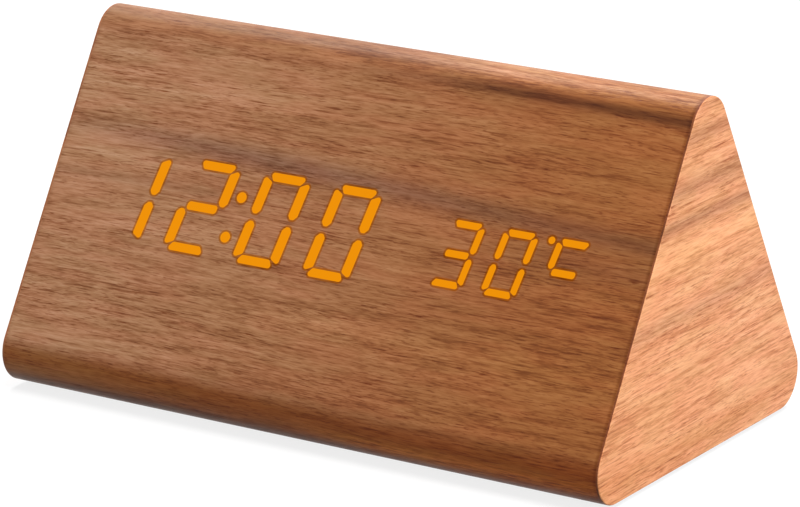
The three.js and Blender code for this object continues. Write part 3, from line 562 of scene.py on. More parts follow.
# moulded plastic, rubber and board: a fine grain, and a slow change of tone and gloss
def mouldedSurface(name, look):
    tree, shader = newFinish(name)
    place = objectPlace(tree)
    slow = noise(tree, place, look["mottlePer"], detail=3.0)
    fine = noise(tree, place, look["grainPer"], roughness=0.6)
    tone = calc(tree, "MULTIPLY_ADD", slow, slowShare, calc(tree, "MULTIPLY", fine, fineShare))
    colour = shaded(tree, tone, look, 0.36, 0.64)
    setSurface(tree, shader, look, colour, slow, fine, **{"Specular IOR Level": look["gloss"]})


# plated metal: faint scratches one way, and stains
def metalSurface(name, look):
    tree, shader = newFinish(name)
    place = objectPlace(tree)
    scratch = noise(tree, stretched(tree, place, look["scratchPer"]), detail=3.0, roughness=0.65)
    stain = noise(tree, place, look["stainPer"], detail=3.0)
    setSurface(tree, shader, look, shaded(tree, stain, look, high=0.6), scratch, scratch, Metallic=1.0)


# circuit board: solder mask, lighter where a track runs under it
def boardSurface(name, look):
    tree, shader = newFinish(name)
    place = objectPlace(tree)
    inputs = {"Vector": place, "Scale": look["cellPer"], "Randomness": look["randomness"]}
    cell = addNode(tree, "ShaderNodeTexVoronoi", inputs, "Distance", distance="CHEBYCHEV")
    ring = calc(tree, "FRACT", calc(tree, "MULTIPLY", cell, look["tracksPerCell"]))
    track = ranged(tree, calc(tree, "ABSOLUTE", calc(tree, "SUBTRACT", ring, 0.5)), *look["trackEdges"])
    cloud = noise(tree, place, look["mottlePer"], detail=3.0)
    colour = blended(tree, track, shaded(tree, cloud, look), look["track"])
    setSurface(tree, shader, look, colour, cloud, track)


# a battery cell's wrapper: plain, with a pale band
def wrapperSurface(name, look):
    tree, shader = newFinish(name)
    cloud = noise(tree, objectPlace(tree), look["mottlePer"], detail=3.0)
    colour = blended(tree, attribute(tree, "band"), shaded(tree, cloud, look), look["band"])
    setSurface(tree, shader, look, colour, cloud, cloud)


def plain(dark, light, roughness, grainPer=3500, mottlePer=60, bump=0.3, relief=0.03, gloss=0.5):
    return {"dark": dark, "light": light, "roughness": roughness, "grainPer": grainPer,
            "mottlePer": mottlePer, "bump": bump, "relief": relief, "gloss": gloss}


looks = {
    mouldedSurface: {
        "blackPlastic": plain((0.011, 0.011, 0.012), (0.022, 0.022, 0.024), (0.42, 0.56), bump=0.5,
                              gloss=0.28),
        "whitePlastic": plain((0.72, 0.71, 0.67), (0.84, 0.83, 0.79), (0.5, 0.62)),
        "clearPlastic": plain((0.62, 0.6, 0.55), (0.74, 0.72, 0.66), (0.2, 0.34), bump=0.1),
        "buttonGrey": plain((0.17, 0.175, 0.18), (0.24, 0.245, 0.25), (0.36, 0.5), 4200, 90, 0.35),
        "footRubber": plain((0.014, 0.014, 0.014), (0.032, 0.031, 0.03), (0.75, 0.9), 1800, 120, 0.7, 0.06),
        "componentBlack": plain((0.008, 0.008, 0.008), (0.016, 0.016, 0.016), (0.38, 0.55), 5000, 200),
        "sensorBead": plain((0.035, 0.014, 0.008), (0.06, 0.024, 0.012), (0.12, 0.2), 900, 300, 0.1),
        "fibreboard": plain((0.3, 0.185, 0.095), (0.47, 0.315, 0.18), (0.8, 0.92), 2600, 700, 0.8, 0.08),
        "ribbonGrey": plain((0.3, 0.31, 0.32), (0.4, 0.41, 0.42), (0.42, 0.55), 1500, 150, 0.2),
        "redInsulation": plain((0.36, 0.018, 0.012), (0.47, 0.028, 0.018), (0.3, 0.42), 1800, 200, 0.15),
        "blackInsulation": plain((0.01, 0.01, 0.01), (0.02, 0.02, 0.02), (0.3, 0.42), 1800, 200, 0.15),
    },
    metalSurface: {
        "screwSteel": {"dark": (0.44, 0.45, 0.47), "light": (0.6, 0.61, 0.63), "roughness": (0.24, 0.42),
                       "scratchPer": (900, 5200, 2600), "stainPer": 400, "bump": 0.25, "relief": 0.01},
        "contactNickel": {"dark": (0.52, 0.5, 0.45), "light": (0.68, 0.66, 0.6), "roughness": (0.18, 0.34),
                          "scratchPer": (4800, 700, 1600), "stainPer": 260, "bump": 0.25, "relief": 0.01},
    },
    boardSurface: {
        "circuitBoard": {"dark": (0.006, 0.085, 0.028), "light": (0.012, 0.13, 0.045), "cellPer": 170,
                         "track": (0.03, 0.2, 0.07), "tracksPerCell": 3.2, "trackEdges": (0.2, 0.26),
                         "randomness": 0.85, "mottlePer": 90, "roughness": (0.28, 0.4), "bump": 0.6,
                         "relief": 0.03},
    },
    wrapperSurface: {
        "cellWrapper": {"dark": (0.034, 0.15, 0.24), "light": (0.039, 0.166, 0.266), "mottlePer": 250,
                        "band": (0.62, 0.66, 0.68), "roughness": (0.22, 0.34), "bump": 0.15, "relief": 0.05},
    },
}
for makeSurface, looksOfKind in looks.items():
    for name, look in looksOfKind.items():
        makeSurface(name, look)
print("finishes made")


# the section's outline, an inset inside its outer surface, as (y, z) points
def sectionOutline(inset):
    radius = max(body["cornerRadius"] - inset, body["leastRadius"])
    reach = body["side"] / 2 - (inset + radius) / math.tan(tilt / 2)
    apex = inset + radius + reach * math.tan(tilt)
    points = []
    for y, z, start in ((reach, inset + radius, -math.pi / 2), (0, apex, tilt / 2),
                        (-reach, inset + radius, math.pi - tilt / 2)):
        turns = [start + 2 * tilt * i / cornerSteps for i in range(cornerSteps + 1)]
        arc = [Vector((y + radius * math.cos(a), z + radius * math.sin(a))) for a in turns]
        before = arc[0] - body["shoulder"] * Vector((-math.sin(turns[0]), math.cos(turns[0])))
        after = arc[-1] + body["shoulder"] * Vector((-math.sin(turns[-1]), math.cos(turns[-1])))
        points += [before, *arc, after]
    return [(p.x, p.y + body["bottom"]) for p in points]


def sectionLoop(inset, x):
    return [(x, y, z) for y, z in sectionOutline(inset)]


# wooden sleeve, with the display's pocket and the rebates and openings of the rear panel and base cover
sleeve = metres({
    "pocket": (128, 28), "skin": 1,
    "rearRebate": (66.6, 20.6, 2.3), "rebateRadius": 2.3, "rearOpening": (52, 14),
    "baseRebate": (76.6, 64.6, 2), "baseOpening": (64, 54),
    "surfaceReach": 0.02,  # how near to the outer surface a point counts as on it
})


# true for a point on the section's rounded outline
def onOuterSurface(point):
    reach = body["side"] / 2 - body["cornerRadius"] / math.tan(tilt / 2)
    low = body["bottom"] + body["cornerRadius"]
    centres = [Vector((reach, low)), Vector((0, low + reach * math.tan(tilt))), Vector((-reach, low))]
    here, distances = Vector((point.y, point.z)), []
    for i, start in enumerate(centres):
        side = centres[(i + 1) % 3] - start
        share = min(max((here - start).dot(side) / side.length_squared, 0), 1)
        distances.append((here - start - side * share).length)
    return abs(min(distances) - body["cornerRadius"]) < sleeve["surfaceReach"]


def sleeveMesh():
    end, wall, over = body["sleeveEnd"], body["wall"], body["overrun"]
    hole, bite = body["screwHole"], body["screwBite"]
    shell = loopsMesh([sectionLoop(0, -end), sectionLoop(0, end), sectionLoop(wall, end),
                       sectionLoop(wall, -end)], ring=True)
    rearWidth, rearHeight, rearDepth = sleeve["rearRebate"]
    baseWidth, baseDepth, coverDepth = sleeve["baseRebate"]
    rebate = roundedOutline(rectangle(rearWidth, rearHeight), sleeve["rebateRadius"], 8)
    frontCuts = [plateMesh(*sleeve["pocket"], -wall - over, -sleeve["skin"]),
                 *rodMeshes(screwPlaces["display_screw"], (hole, -wall - over, bite - wall))]
    rearCuts = [prismMesh(rebate, -rearDepth, over), plateMesh(*sleeve["rearOpening"], -wall - over, 0),
                *rodMeshes(screwPlaces["panel_screw"], (hole, -rearDepth - bite, 0))]
    baseCuts = [plateMesh(baseWidth, baseDepth, -over, coverDepth),
                plateMesh(*sleeve["baseOpening"], -over, wall + over),
                *rodMeshes(screwPlaces["base_screw"], (hole, 0, coverDepth + bite))]
    for place, cuts in ((frontSlope, frontCuts), (rearSlope, rearCuts), (baseFrame, baseCuts)):
        for each in cuts:
            each.transform(place)
    mesh = shaped(shell, cuts=frontCuts + rearCuts + baseCuts)
    for face in mesh.polygons:
        outside = all(onOuterSurface(mesh.vertices[i].co) for i in face.vertices)
        face.material_index = 0 if outside else 1
    return mesh


addPiece("woodSleeve", sleeveMesh(), ["walnutVeneer", "fibreboard"], "wood_sleeve", degrees=25)

# end veneers, with a small round on their outer edge
endVeneer = {"edgeRadius": 0.3 * mm, "steps": 5}
for name, sign in (("left", -1), ("right", 1)):
    radius, outer = endVeneer["edgeRadius"], body["halfLength"]
    loops = [sectionLoop(0, sign * body["sleeveEnd"])]
    for step in range(endVeneer["steps"] + 1):
        angle = math.pi / 2 * step / endVeneer["steps"]
        x = outer - radius * (1 - math.sin(angle))
        loops.append(sectionLoop(radius * (1 - math.cos(angle)), sign * x))
    mesh = loopsMesh(loops)
    addPiece(f"{name}EndVeneer", mesh, ["endVeneer"], f"{name}_end_veneer", degrees=30)
print("casing made")

# lit bars: the ends are in shares of a bar's width
digits = {
    "time": {"lit": ("bc", "abdeg", "abcdef", "abcdef"), **metres({
        "height": 18.6, "bar": 2.1, "upright": 2.3, "cap": 1.9, "gap": 8.55, "first": -52.58,
        "pitch": 17.946, "dots": ((1.24, -26.05, 3.7), (1.24, -26.05, -5.4))})},
    "temperature": {"lit": ("abcdg", "abcdef", "afg"), **metres({
        "height": 13, "bar": 1.55, "upright": 1.5, "cap": 1.5, "gap": 5.95, "first": 29.63,
        "pitch": 12.749, "dots": ((0.8, 49.6, 6.5),)})},
}
digitSlant = math.radians(7.6)
barEnds = {"capOuter": -0.03, "capInner": 0.57, "uprightOuter": 0.45, "uprightInner": 1.02, "waist": 0.4,
           "waistTaper": 0.42, "waistTip": 0.22, "middleTip": 0.42, "middleTaper": 0.2,
           "middleTipHeight": 0.25}
litBar = {
    "rings": (  # margin from the bar's outline and height over the face in millimetres, and glow
        (0.5, -2.0, 0.0), (0.5, 0.004, 0.0), (0.38, 0.01, 0.45), (0.07, 0.016, 0.5), (-0.05, 0.02, 1.0),
        (-0.2, 0.024, 1.0)),
    "cornerShare": 0.3,  # radius of its corners in its width
    "dotSides": 12, "dotCornerShare": 0.75,  # of a dot's outline, and the radius of its corners in its own
    "plate": metres({"margin": 2.2, "front": -1.3, "back": -2.3, "height": 27.4, "edge": 0.2}),
}


def digitBars(digit):
    bar = digit["bar"]
    share = {name: value * bar for name, value in barEnds.items()}
    side = (digit["pitch"] - digit["gap"]) / 2
    half, halfCap, top = digit["upright"] / 2, digit["cap"] / 2, (digit["height"] + bar) / 2
    capInner, capOuter = side - share["capInner"], side - share["capOuter"]
    shoulder = share["waist"] + share["waistTaper"]
    middleTip = side - share["middleTip"]
    middleEdge, tipHeight = middleTip - share["middleTaper"], share["middleTipHeight"]
    a = [(-capInner, top - 2 * halfCap), (capInner, top - 2 * halfCap), (capOuter, top), (-capOuter, top)]
    b = [(side - half, shoulder), (side - share["waistTip"], share["waist"]),
         (side + share["waistTip"], share["waist"]), (side + half, shoulder),
         (side + half, top - share["uprightOuter"]), (side - half, top - share["uprightInner"])]
    g = [(-middleTip, -tipHeight), (-middleEdge, -halfCap), (middleEdge, -halfCap), (middleTip, -tipHeight),
         (middleTip, tipHeight), (middleEdge, halfCap), (-middleEdge, halfCap), (-middleTip, tipHeight)]

    def over(points):
        return [(x, -y) for x, y in reversed(points)]

    def mirrored(points):
        return [(-x, y) for x, y in reversed(points)]

    return {"a": a, "b": b, "c": over(b), "d": over(a), "e": mirrored(over(b)), "f": mirrored(b), "g": g}


def leaned(points, middle):
    return [(middle + x + y * math.tan(digitSlant), y) for x, y in points]


# one lit bar: its glow falls from 1 in the core to 0 in the veneer round it
def litBarMesh(outline, cornerRadius):
    loops, glow = [], []
    for margin, height, light in litBar["rings"]:
        loop = roundedOutline(grownOutline(outline, margin * mm), cornerRadius + margin * mm, 5)
        loops.append([(x, y, height * mm) for x, y in loop])
        glow += [light] * len(loop)
    mesh = loopsMesh(loops, frontSlope)
    mesh.attributes.new("glow", "FLOAT", "POINT").data.foreach_set("value", glow)
    return mesh


# the clear plate behind the veneer that a row of bars stands on
def lensPlate(digit):
    across = [x for place in range(len(digit["lit"])) for outline in digitBars(digit).values()
              for x, y in leaned(outline, digit["first"] + place * digit["pitch"])]
    across += [middle + sign * radius for radius, middle, rise in digit["dots"] for sign in (-1, 1)]
    plate = litBar["plate"]
    left, right, half = min(across) - plate["margin"], max(across) + plate["margin"], plate["height"] / 2
    blank = blockMesh(left, right, -half, half, plate["back"], plate["front"])
    return marked(shaped(blank, soft=plate["edge"], place=frontSlope), 1)


for name, digit in digits.items():
    bars, outlines = [], digitBars(digit)
    for place, lit in enumerate(digit["lit"]):
        middle = digit["first"] + place * digit["pitch"]
        for letter in lit:
            bars.append(litBarMesh(leaned(outlines[letter], middle), litBar["cornerShare"] * digit["bar"]))
    for radius, middle, rise in digit["dots"]:
        dot = circle(radius, litBar["dotSides"], middle + rise * math.tan(digitSlant), rise)
        bars.append(litBarMesh(dot, litBar["dotCornerShare"] * radius))
    mesh = joined([*bars, lensPlate(digit)])
    addPiece(f"{name}Bars", mesh, ["litVeneer", "clearPlastic"], f"{name}_lens", degrees=40)
print("digits made")

# feet
foot = metres({"radius": 4.5, "height": 1, "places": ((62, 28), (62, -28), (-62, 28), (-62, -28)),
               "edge": 0.22, "dishRadius": 3.4, "dish": 0.15})
for x, y in foot["places"]:
    dish = rodMesh(foot["dishRadius"], -body["overrun"], foot["dish"], x, y)
    mesh = shaped(rodMesh(foot["radius"], 0, foot["height"], x, y), (), [dish], foot["edge"], 3)
    name = f"{'rear' if y > 0 else 'front'}_{'right' if x > 0 else 'left'}_foot"
    addPiece(f"{name}Rubber", mesh, ["footRubber"], name)

# screws: a cross-slotted pan head whose top is at zero, and a threaded shank below it
screw = metres({"headHeight": 1.2, "shank": 1.0, "root": 0.76, "thread": 0.55, "tip": 0.15,
                "dome": ((2.0, -1.2), (2.0, -0.62), (1.93, -0.4), (1.76, -0.2), (1.48, -0.05), (1.15, 0)),
                "slot": (0.6, 2.5, 0.62)})
upright, turnedOver = Matrix(), Matrix.Rotation(math.pi, 4, "X")
screwSets = {  # top of the head and length in millimetres, the frame of its places, and its turn there
    "base_screw": (0.1, 4.9, baseFrame, turnedOver), "display_screw": (-11.7, 8.7, frontSlope, turnedOver),
    "panel_screw": (-0.1, 5.2, rearSlope, upright), "board_screw": (-14.4, 6.4, rearSlope, turnedOver),
}


def screwMesh(length, place):
    profile, z = [(screw["tip"], -length), (screw["root"], screw["root"] - length)], screw["shank"] - length
    while z < -screw["headHeight"] - screw["thread"]:
        profile += [(screw["shank"], z + screw["thread"] / 2), (screw["root"], z + screw["thread"])]
        z += screw["thread"]
    profile += [(screw["root"], -screw["headHeight"]), *screw["dome"]]
    width, reach, depth = screw["slot"]
    cross = combined(plateMesh(width, reach, -depth, body["overrun"]),
                     [plateMesh(reach, width, -depth, body["overrun"])], "UNION")
    return shaped(latheMesh(profile, sides=32), cuts=[cross], place=place)


for name, (top, length, ownFrame, turn) in screwSets.items():
    for i, (x, y) in enumerate(screwPlaces[name]):
        mesh = screwMesh(length * mm, ownFrame @ Matrix.Translation((x, y, top * mm)) @ turn)
        addPiece(f"{name}{i + 1}", mesh, ["screwSteel"], f"{name}_{i + 1}")
print("feet and screws made")

# rear control panel
rearPanel = metres({
    "size": (66, 20), "thickness": 2, "radius": 2, "edge": 0.3, "postRadius": 2.2, "postFoot": -11,
    "buttonHole": 3.7, "buttonDish": 4.5, "mouth": 3.0, "mouthDish": 4.3, "dishDepth": 0.35,
})
button = metres({
    "places": {"up": -15.5, "set": -5.5, "down": 4.5},
    "profile": ((1.2, -5.7), (1.4, -5.5), (1.4, -3.1), (4.0, -3.1), (4.2, -2.95), (4.2, -2.45), (4.05, -2.3),
                (3.4, -2.3), (3.4, 0.45), (3.37, 0.6), (3.28, 0.74), (3.15, 0.84), (2.98, 0.9), (2.7, 0.88),
                (2.1, 0.8), (1.3, 0.75)),
    "markRadius": 1.5, "markFoot": 0.5, "markTop": 1.2, "markEdge": 0.12, "markCorner": 0.22,
})
jack = metres({"place": 15.5, "width": 8, "back": -11, "front": -2.75, "collar": 2.8, "collarFront": -2.3,
               "bore": 1.85, "boreFloor": -9.8, "edge": 0.15,
               "pin": ((0.6, -9.5), (0.65, -9.4), (0.65, -3.3), (0.55, -3.1), (0.3, -3.0))})


def rearPanelMesh():
    over, thick, hole = body["overrun"], rearPanel["thickness"], body["screwHole"]
    back, foot, dish = -thick - over, rearPanel["postFoot"], -rearPanel["dishDepth"]
    blank = prismMesh(roundedOutline(rectangle(*rearPanel["size"]), rearPanel["radius"], 8), -thick, 0)
    posts = rodMeshes(screwPlaces["board_screw"], (rearPanel["postRadius"], foot, -thick / 2))
    cuts = rodMeshes(screwPlaces["board_screw"], (hole, foot - over, foot + body["screwBite"]))
    cuts += rodMeshes([(x, 0) for x in button["places"].values()], (rearPanel["buttonHole"], back, over),
                      (rearPanel["buttonDish"], dish, over))
    cuts += rodMeshes([(jack["place"], 0)], (rearPanel["mouth"], back, over),
                      (rearPanel["mouthDish"], dish, over))
    cuts += rodMeshes(screwPlaces["panel_screw"], (body["counterbore"], -body["counterboreDepth"], over),
                      (hole, back, over))
    return shaped(blank, posts, cuts, rearPanel["edge"], 3, rearSlope)


addPiece("rearControlPanel", rearPanelMesh(), ["blackPlastic"], "rear_control_panel")

# buttons: an arrowhead up, a dot and an arrowhead down stand on their caps
for name, (sides, start) in {"up": (3, math.pi / 2), "set": (48, 0.0), "down": (3, -math.pi / 2)}.items():
    outline = circle(button["markRadius"], sides, start=start)
    if sides == 3:
        outline = roundedOutline(outline, button["markCorner"])
    mark = shaped(prismMesh(outline, button["markFoot"], button["markTop"]), soft=button["markEdge"])
    mesh = joined([latheMesh(button["profile"]), marked(mark, 1)])
    mesh.transform(rearSlope @ Matrix.Translation((button["places"][name], 0, 0)))
    addPiece(f"{name}Button", mesh, ["buttonGrey", "whitePlastic"], f"{name}_button",
             f"{name}_button")


# power inlet
def jackMesh():
    blank = plateMesh(jack["width"], jack["width"], jack["back"], jack["front"], jack["place"])
    collar = rodMesh(jack["collar"], jack["back"] / 2, jack["collarFront"], jack["place"])
    bore = rodMesh(jack["bore"], jack["boreFloor"], body["overrun"], jack["place"])
    return shaped(blank, [collar], [bore], jack["edge"], 2, rearSlope)


pinMesh = latheMesh(jack["pin"], rearSlope @ Matrix.Translation((jack["place"], 0, 0)))
addPiece("powerInlet", jackMesh(), ["componentBlack"], "dc_jack")
addPiece("powerInletPin", pinMesh, ["contactNickel"], "dc_jack_pin")
print("rear panel made")

# base cover with its battery tray, and the battery door
tray = metres({
    "cover": (76, 64), "thickness": 2, "edge": 0.25, "size": (56, 48.5), "top": 14.9, "bay": (52, 44.5),
    "roof": 13.4, "doorRoom": (54, 46.5), "windowFloor": 2, "rearWall": (21.25, 25.25),
    "tabWindow": (3.4, 4.8), "tabPlaces": (-16, 16), "latchWindow": (5.4, 5.9),
    "slots": (1.5, 3), "slotPlace": (-25.75, 16.65), "notch": (6, -23.25, 1.2),
    "vent": (1.2, 5), "ventPlaces": [(x, y) for x in (-30, 30) for y in (-12, -4, 4, 12)],
    "cradle": (30, 1.2), "cradlePlaces": (-11.1, 0, 11.1), "cradleFoot": 11.2,
})
door = metres({
    "size": (53.2, 45.7), "thickness": 1.7, "edge": 0.2, "tabHalf": 3, "tabRoot": 1.6, "tabReach": 1.8,
    "tabTop": 3.4, "tabThickness": 1.1, "latch": (5, 1, 4.5), "groove": (14, 0.8, 0.4),
    "groovePlaces": (4, 6, 8),  # from the front edge
})


def baseCoverMesh():
    over, thick, sill, roof = body["overrun"], tray["thickness"], tray["windowFloor"], tray["roof"]
    nearWall, farWall = tray["rearWall"]
    tabHalf, tabHead = tray["tabWindow"]
    latchHalf, latchHead = tray["latchWindow"]
    slotX, slotY = tray["slotPlace"]
    notchRadius, notchY, notchTop = tray["notch"]
    cuts = [plateMesh(*tray["bay"], -over, roof), plateMesh(*tray["doorRoom"], -over, thick),
            blockMesh(-latchHalf, latchHalf, -farWall, -nearWall, sill, latchHead)]
    cuts += [blockMesh(x - tabHalf, x + tabHalf, nearWall, farWall, sill, tabHead) for x in tray["tabPlaces"]]
    cuts += [plateMesh(*tray["slots"], roof - over, tray["top"] + over, slotX, y) for y in (-slotY, slotY)]
    cuts += rodMeshes(screwPlaces["base_screw"], (body["counterbore"], -over, body["counterboreDepth"]),
                      (body["screwHole"], -over, thick + over))
    cuts.append(rodMesh(notchRadius, -over, notchTop, 0, notchY))
    cuts += [plateMesh(*tray["vent"], -over, thick + over, x, y) for x, y in tray["ventPlaces"]]
    cradles = [plateMesh(*tray["cradle"], tray["cradleFoot"], tray["top"], 0, y)
               for y in tray["cradlePlaces"]]
    hollow = shaped(plateMesh(*tray["cover"], 0, thick), [plateMesh(*tray["size"], 0, tray["top"])], cuts)
    return shaped(hollow, cradles, soft=tray["edge"], place=baseFrame)


def batteryDoorMesh():
    width, depth = door["size"]
    rearEdge, top, over = depth / 2, door["tabTop"], body["overrun"]
    root = rearEdge - door["tabRoot"]
    latchHalf, latchThick, latchTop = door["latch"]
    joins = [blockMesh(-latchHalf, latchHalf, -rearEdge, latchThick - rearEdge, 0, latchTop)]
    for x in tray["tabPlaces"]:
        left, right = x - door["tabHalf"], x + door["tabHalf"]
        joins += [blockMesh(left, right, root, rearEdge, 0, top),
                  blockMesh(left, right, root, rearEdge + door["tabReach"], top - door["tabThickness"], top)]
    length, grooveWidth, grooveDepth = door["groove"]
    cuts = [plateMesh(length, grooveWidth, -over, grooveDepth, 0, y - rearEdge) for y in door["groovePlaces"]]
    return shaped(plateMesh(width, depth, 0, door["thickness"]), joins, cuts, door["edge"], 2, baseFrame)


addPiece("baseCover", baseCoverMesh(), ["blackPlastic"], "base_cover")
addPiece("batteryDoor", batteryDoorMesh(), ["blackPlastic"], "battery_door", "door")
print("base made")

# battery cells: bare metal ends that show past a plain wrapper with one pale band near the positive end
cell = {
    **metres({"places": (-16.65, -5.55, 5.55, 16.65), "axis": 7.55, "tip": 24.3, "length": 44.5}),
    "sides": 64,
    "profile": (  # radius and height from the negative end in millimetres, material, pale band
        (3.1, 0.3, 1, 0), (3.3, 0.05, 1, 0), (4.35, 0.0, 1, 0), (4.6, 0.18, 1, 0), (4.62, 0.3, 0, 0),
        (4.95, 0.2, 0, 0), (5.18, 0.36, 0, 0), (5.25, 0.65, 0, 0), (5.25, 33.0, 0, 0), (5.25, 33.05, 0, 1),
        (5.25, 34.95, 0, 1), (5.25, 35.0, 0, 0), (5.25, 43.0, 0, 0), (5.2, 43.3, 0, 0), (5.0, 43.5, 0, 0),
        (4.75, 43.5, 0, 0), (4.6, 43.4, 1, 0), (2.3, 43.4, 1, 0), (2.05, 43.5, 1, 0), (1.9, 43.75, 1, 0),
        (1.9, 44.25, 1, 0), (1.8, 44.42, 1, 0), (1.6, 44.5, 1, 0)),
}


def cellMesh(y, direction):
    sides, profile = cell["sides"], cell["profile"]
    mesh = latheMesh([(radius * mm, height * mm) for radius, height, *rest in profile], sides=sides)
    pale = [bandHere for *rest, bandHere in profile for side in range(sides)]
    mesh.attributes.new("band", "FLOAT", "POINT").data.foreach_set("value", pale)
    for face in mesh.polygons:
        face.material_index = profile[min(face.vertices[:]) // sides][2]
    toTip = Matrix.Translation((0, 0, -cell["length"]))
    mesh.transform(baseFrame @ Matrix.Translation((direction * cell["tip"], y, cell["axis"]))
                   @ Matrix.Rotation(direction * math.pi / 2, 4, "Y") @ toTip)
    return mesh


for i, y in enumerate(cell["places"]):
    mesh = cellMesh(y, 1 if i % 2 else -1)
    addPiece(f"batteryCell{i + 1}", mesh, ["cellWrapper", "contactNickel"], f"battery_cell_{i + 1}")

# contacts: plates against the bay's end walls with a coil spring or a dimple for each cell
contact = metres({
    "face": 25.5, "back": 26, "half": 4.5, "foot": 3.05, "top": 12.05, "corner": 1.2, "edge": 0.12,
    "tabHalf": 1, "tabTop": 17.9,
    "dimple": ((1.6, 25.7), (1.6, 25.45), (1.52, 25.15), (1.3, 24.87), (0.95, 24.68), (0.5, 24.6))})
coil = {"turns": 4, "stepsPerTurn": 28, **metres({"wire": 0.25, "length": 4.75, "wide": 3.2, "narrow": 2.2})}
alongX = Matrix(((0, 0, 1, 0), (1, 0, 0, 0), (0, 1, 0, 0), (0, 0, 0, 1)))  # turns x, y, z to y, z, x


def contactPlate(y0, y1):
    low, high = y0 - contact["half"], y1 + contact["half"]
    outline = [(low, contact["foot"]), (high, contact["foot"]), (high, contact["top"]), (low, contact["top"])]
    blank = prismMesh(roundedOutline(outline, contact["corner"]), contact["face"], contact["back"])
    return shaped(blank, soft=contact["edge"])


def contactTab(y):
    half, face, back = contact["tabHalf"], contact["face"], contact["back"]
    blank = blockMesh(y - half, y + half, contact["foot"] + half, contact["tabTop"], face, back)
    return shaped(blank, soft=contact["edge"])


def contactDimple(y):
    return latheMesh(contact["dimple"], Matrix.Translation((y, cell["axis"], 0)), 40)


def contactCoil(y):
    steps, points = coil["turns"] * coil["stepsPerTurn"], []
    for i in range(steps + 1):
        share, angle = i / steps, 2 * math.pi * i / coil["stepsPerTurn"]
        radius = coil["wide"] + (coil["narrow"] - coil["wide"]) * share
        points.append(Vector((y + radius * math.cos(angle), cell["axis"] + radius * math.sin(angle),
                              contact["face"] - coil["length"] * share)))
    return tubeMesh(points, coil["wire"])


contactSets = {  # side of the bay, and what its plate carries at which cell
    "positive_battery_contact": (-1, {contactDimple: 0, contactTab: 0}),
    "left_battery_bridge": (-1, {contactCoil: 1, contactDimple: 2}),
    "negative_battery_contact": (-1, {contactCoil: 3, contactTab: 3}),
    "front_battery_bridge": (1, {contactCoil: 0, contactDimple: 1}),
    "rear_battery_bridge": (1, {contactCoil: 2, contactDimple: 3}),
}
for name, (sign, carried) in contactSets.items():
    places = [sign * cell["places"][i] for i in carried.values()]
    plate = contactPlate(min(places), max(places))
    mesh = joined([plate, *(make(y) for make, y in zip(carried, places))])
    mesh.transform(baseFrame @ Matrix.Rotation(0 if sign > 0 else math.pi, 4, "Z") @ alongX)
    addPiece(f"{name}Plated", mesh, ["contactNickel"], name)
print("cells and contacts made")

# ribbon cable: joined conductors, swept in the section's plane from one board's header to the other's
ribbon = {"conductors": 8, "ridgeSteps": 6, "steps": 36,
          "ridgeShare": 0.999,  # of the pitch, so that no two points fall together
          **metres({"pitch": 1.0, "ridge": 0.4, "valley": 0.24, "front": -13.5, "rear": -16.2, "reach": 10})}


def ribbonMesh():
    ends = [(place, ribbon[name]) for place, name in ((frontSlope, "front"), (rearSlope, "rear"))]
    (p0, p1), (p3, p2) = [(place @ Vector((0, 0, depth)), place @ Vector((0, 0, depth - ribbon["reach"])))
                          for place, depth in ends]
    top = []
    for conductor in range(ribbon["conductors"]):
        middle = (conductor - (ribbon["conductors"] - 1) / 2) * ribbon["pitch"]
        for step in range(ribbon["ridgeSteps"] + 1):
            angle = math.pi * step / ribbon["ridgeSteps"]
            top.append((middle - ribbon["pitch"] / 2 * math.cos(angle) * ribbon["ridgeShare"],
                        ribbon["valley"] + (ribbon["ridge"] - ribbon["valley"]) * math.sin(angle)))
    outline = top + [(x, -offset) for x, offset in reversed(top)]
    loops = []
    for i in range(ribbon["steps"] + 1):
        t = i / ribbon["steps"]
        s = 1 - t
        point = p0 * s ** 3 + p1 * 3 * s * s * t + p2 * 3 * s * t * t + p3 * t ** 3
        slope = ((p1 - p0) * s * s + (p2 - p1) * 2 * s * t + (p3 - p2) * t * t).normalized()
        side = Vector((1, 0, 0)).cross(slope)
        loops.append([point + Vector((x, 0, 0)) + side * offset for x, offset in outline])
    return loopsMesh(loops)


addPiece("ribbonCable", ribbonMesh(), ["ribbonGrey"], "ribbon_cable", degrees=50)

# battery leads: from a contact's tab to the control board, with bare tinned ends
lead = {
    "bareSteps": 3, "segmentSteps": 14, "sides": 16,
    **metres({"radius": 0.6, "bareRadius": 0.36, "tab": (-25.75, 18.2), "padDrop": -5.2, "pad": -13.8,
              "approach": -15.0, "rise": 1.2,
              "routes": {"red": (-16.65, 12, ((-25, -14, 22), (-20, -3, 24.5), (-14, 6, 26.5))),
                         "black": (16.65, 9, ((-24, 15.5, 21), (-17, 11.5, 24), (-9, 10, 26.5)))}}),
}


# a smooth curve through points, its speed by the square root of their distances
def smoothPath(points, steps):
    ends = [points[0] * 2 - points[1], *points, points[-1] * 2 - points[-2]]
    path = []
    for i in range(len(points) - 1):
        a, b, c, d = ends[i:i + 4]
        before, here, after = (math.sqrt((q - p).length) for p, q in ((a, b), (b, c), (c, d)))
        leave = ((b - a) / before - (c - a) / (before + here) + (c - b) / here) * here
        arrive = ((c - b) / here - (d - b) / (here + after) + (d - c) / after) * here
        for step in range(steps):
            t = step / steps
            path.append(b * (2 * t ** 3 - 3 * t * t + 1) + leave * (t ** 3 - 2 * t * t + t)
                        + c * (3 * t * t - 2 * t ** 3) + arrive * (t ** 3 - t * t))
    return [*path, points[-1]]


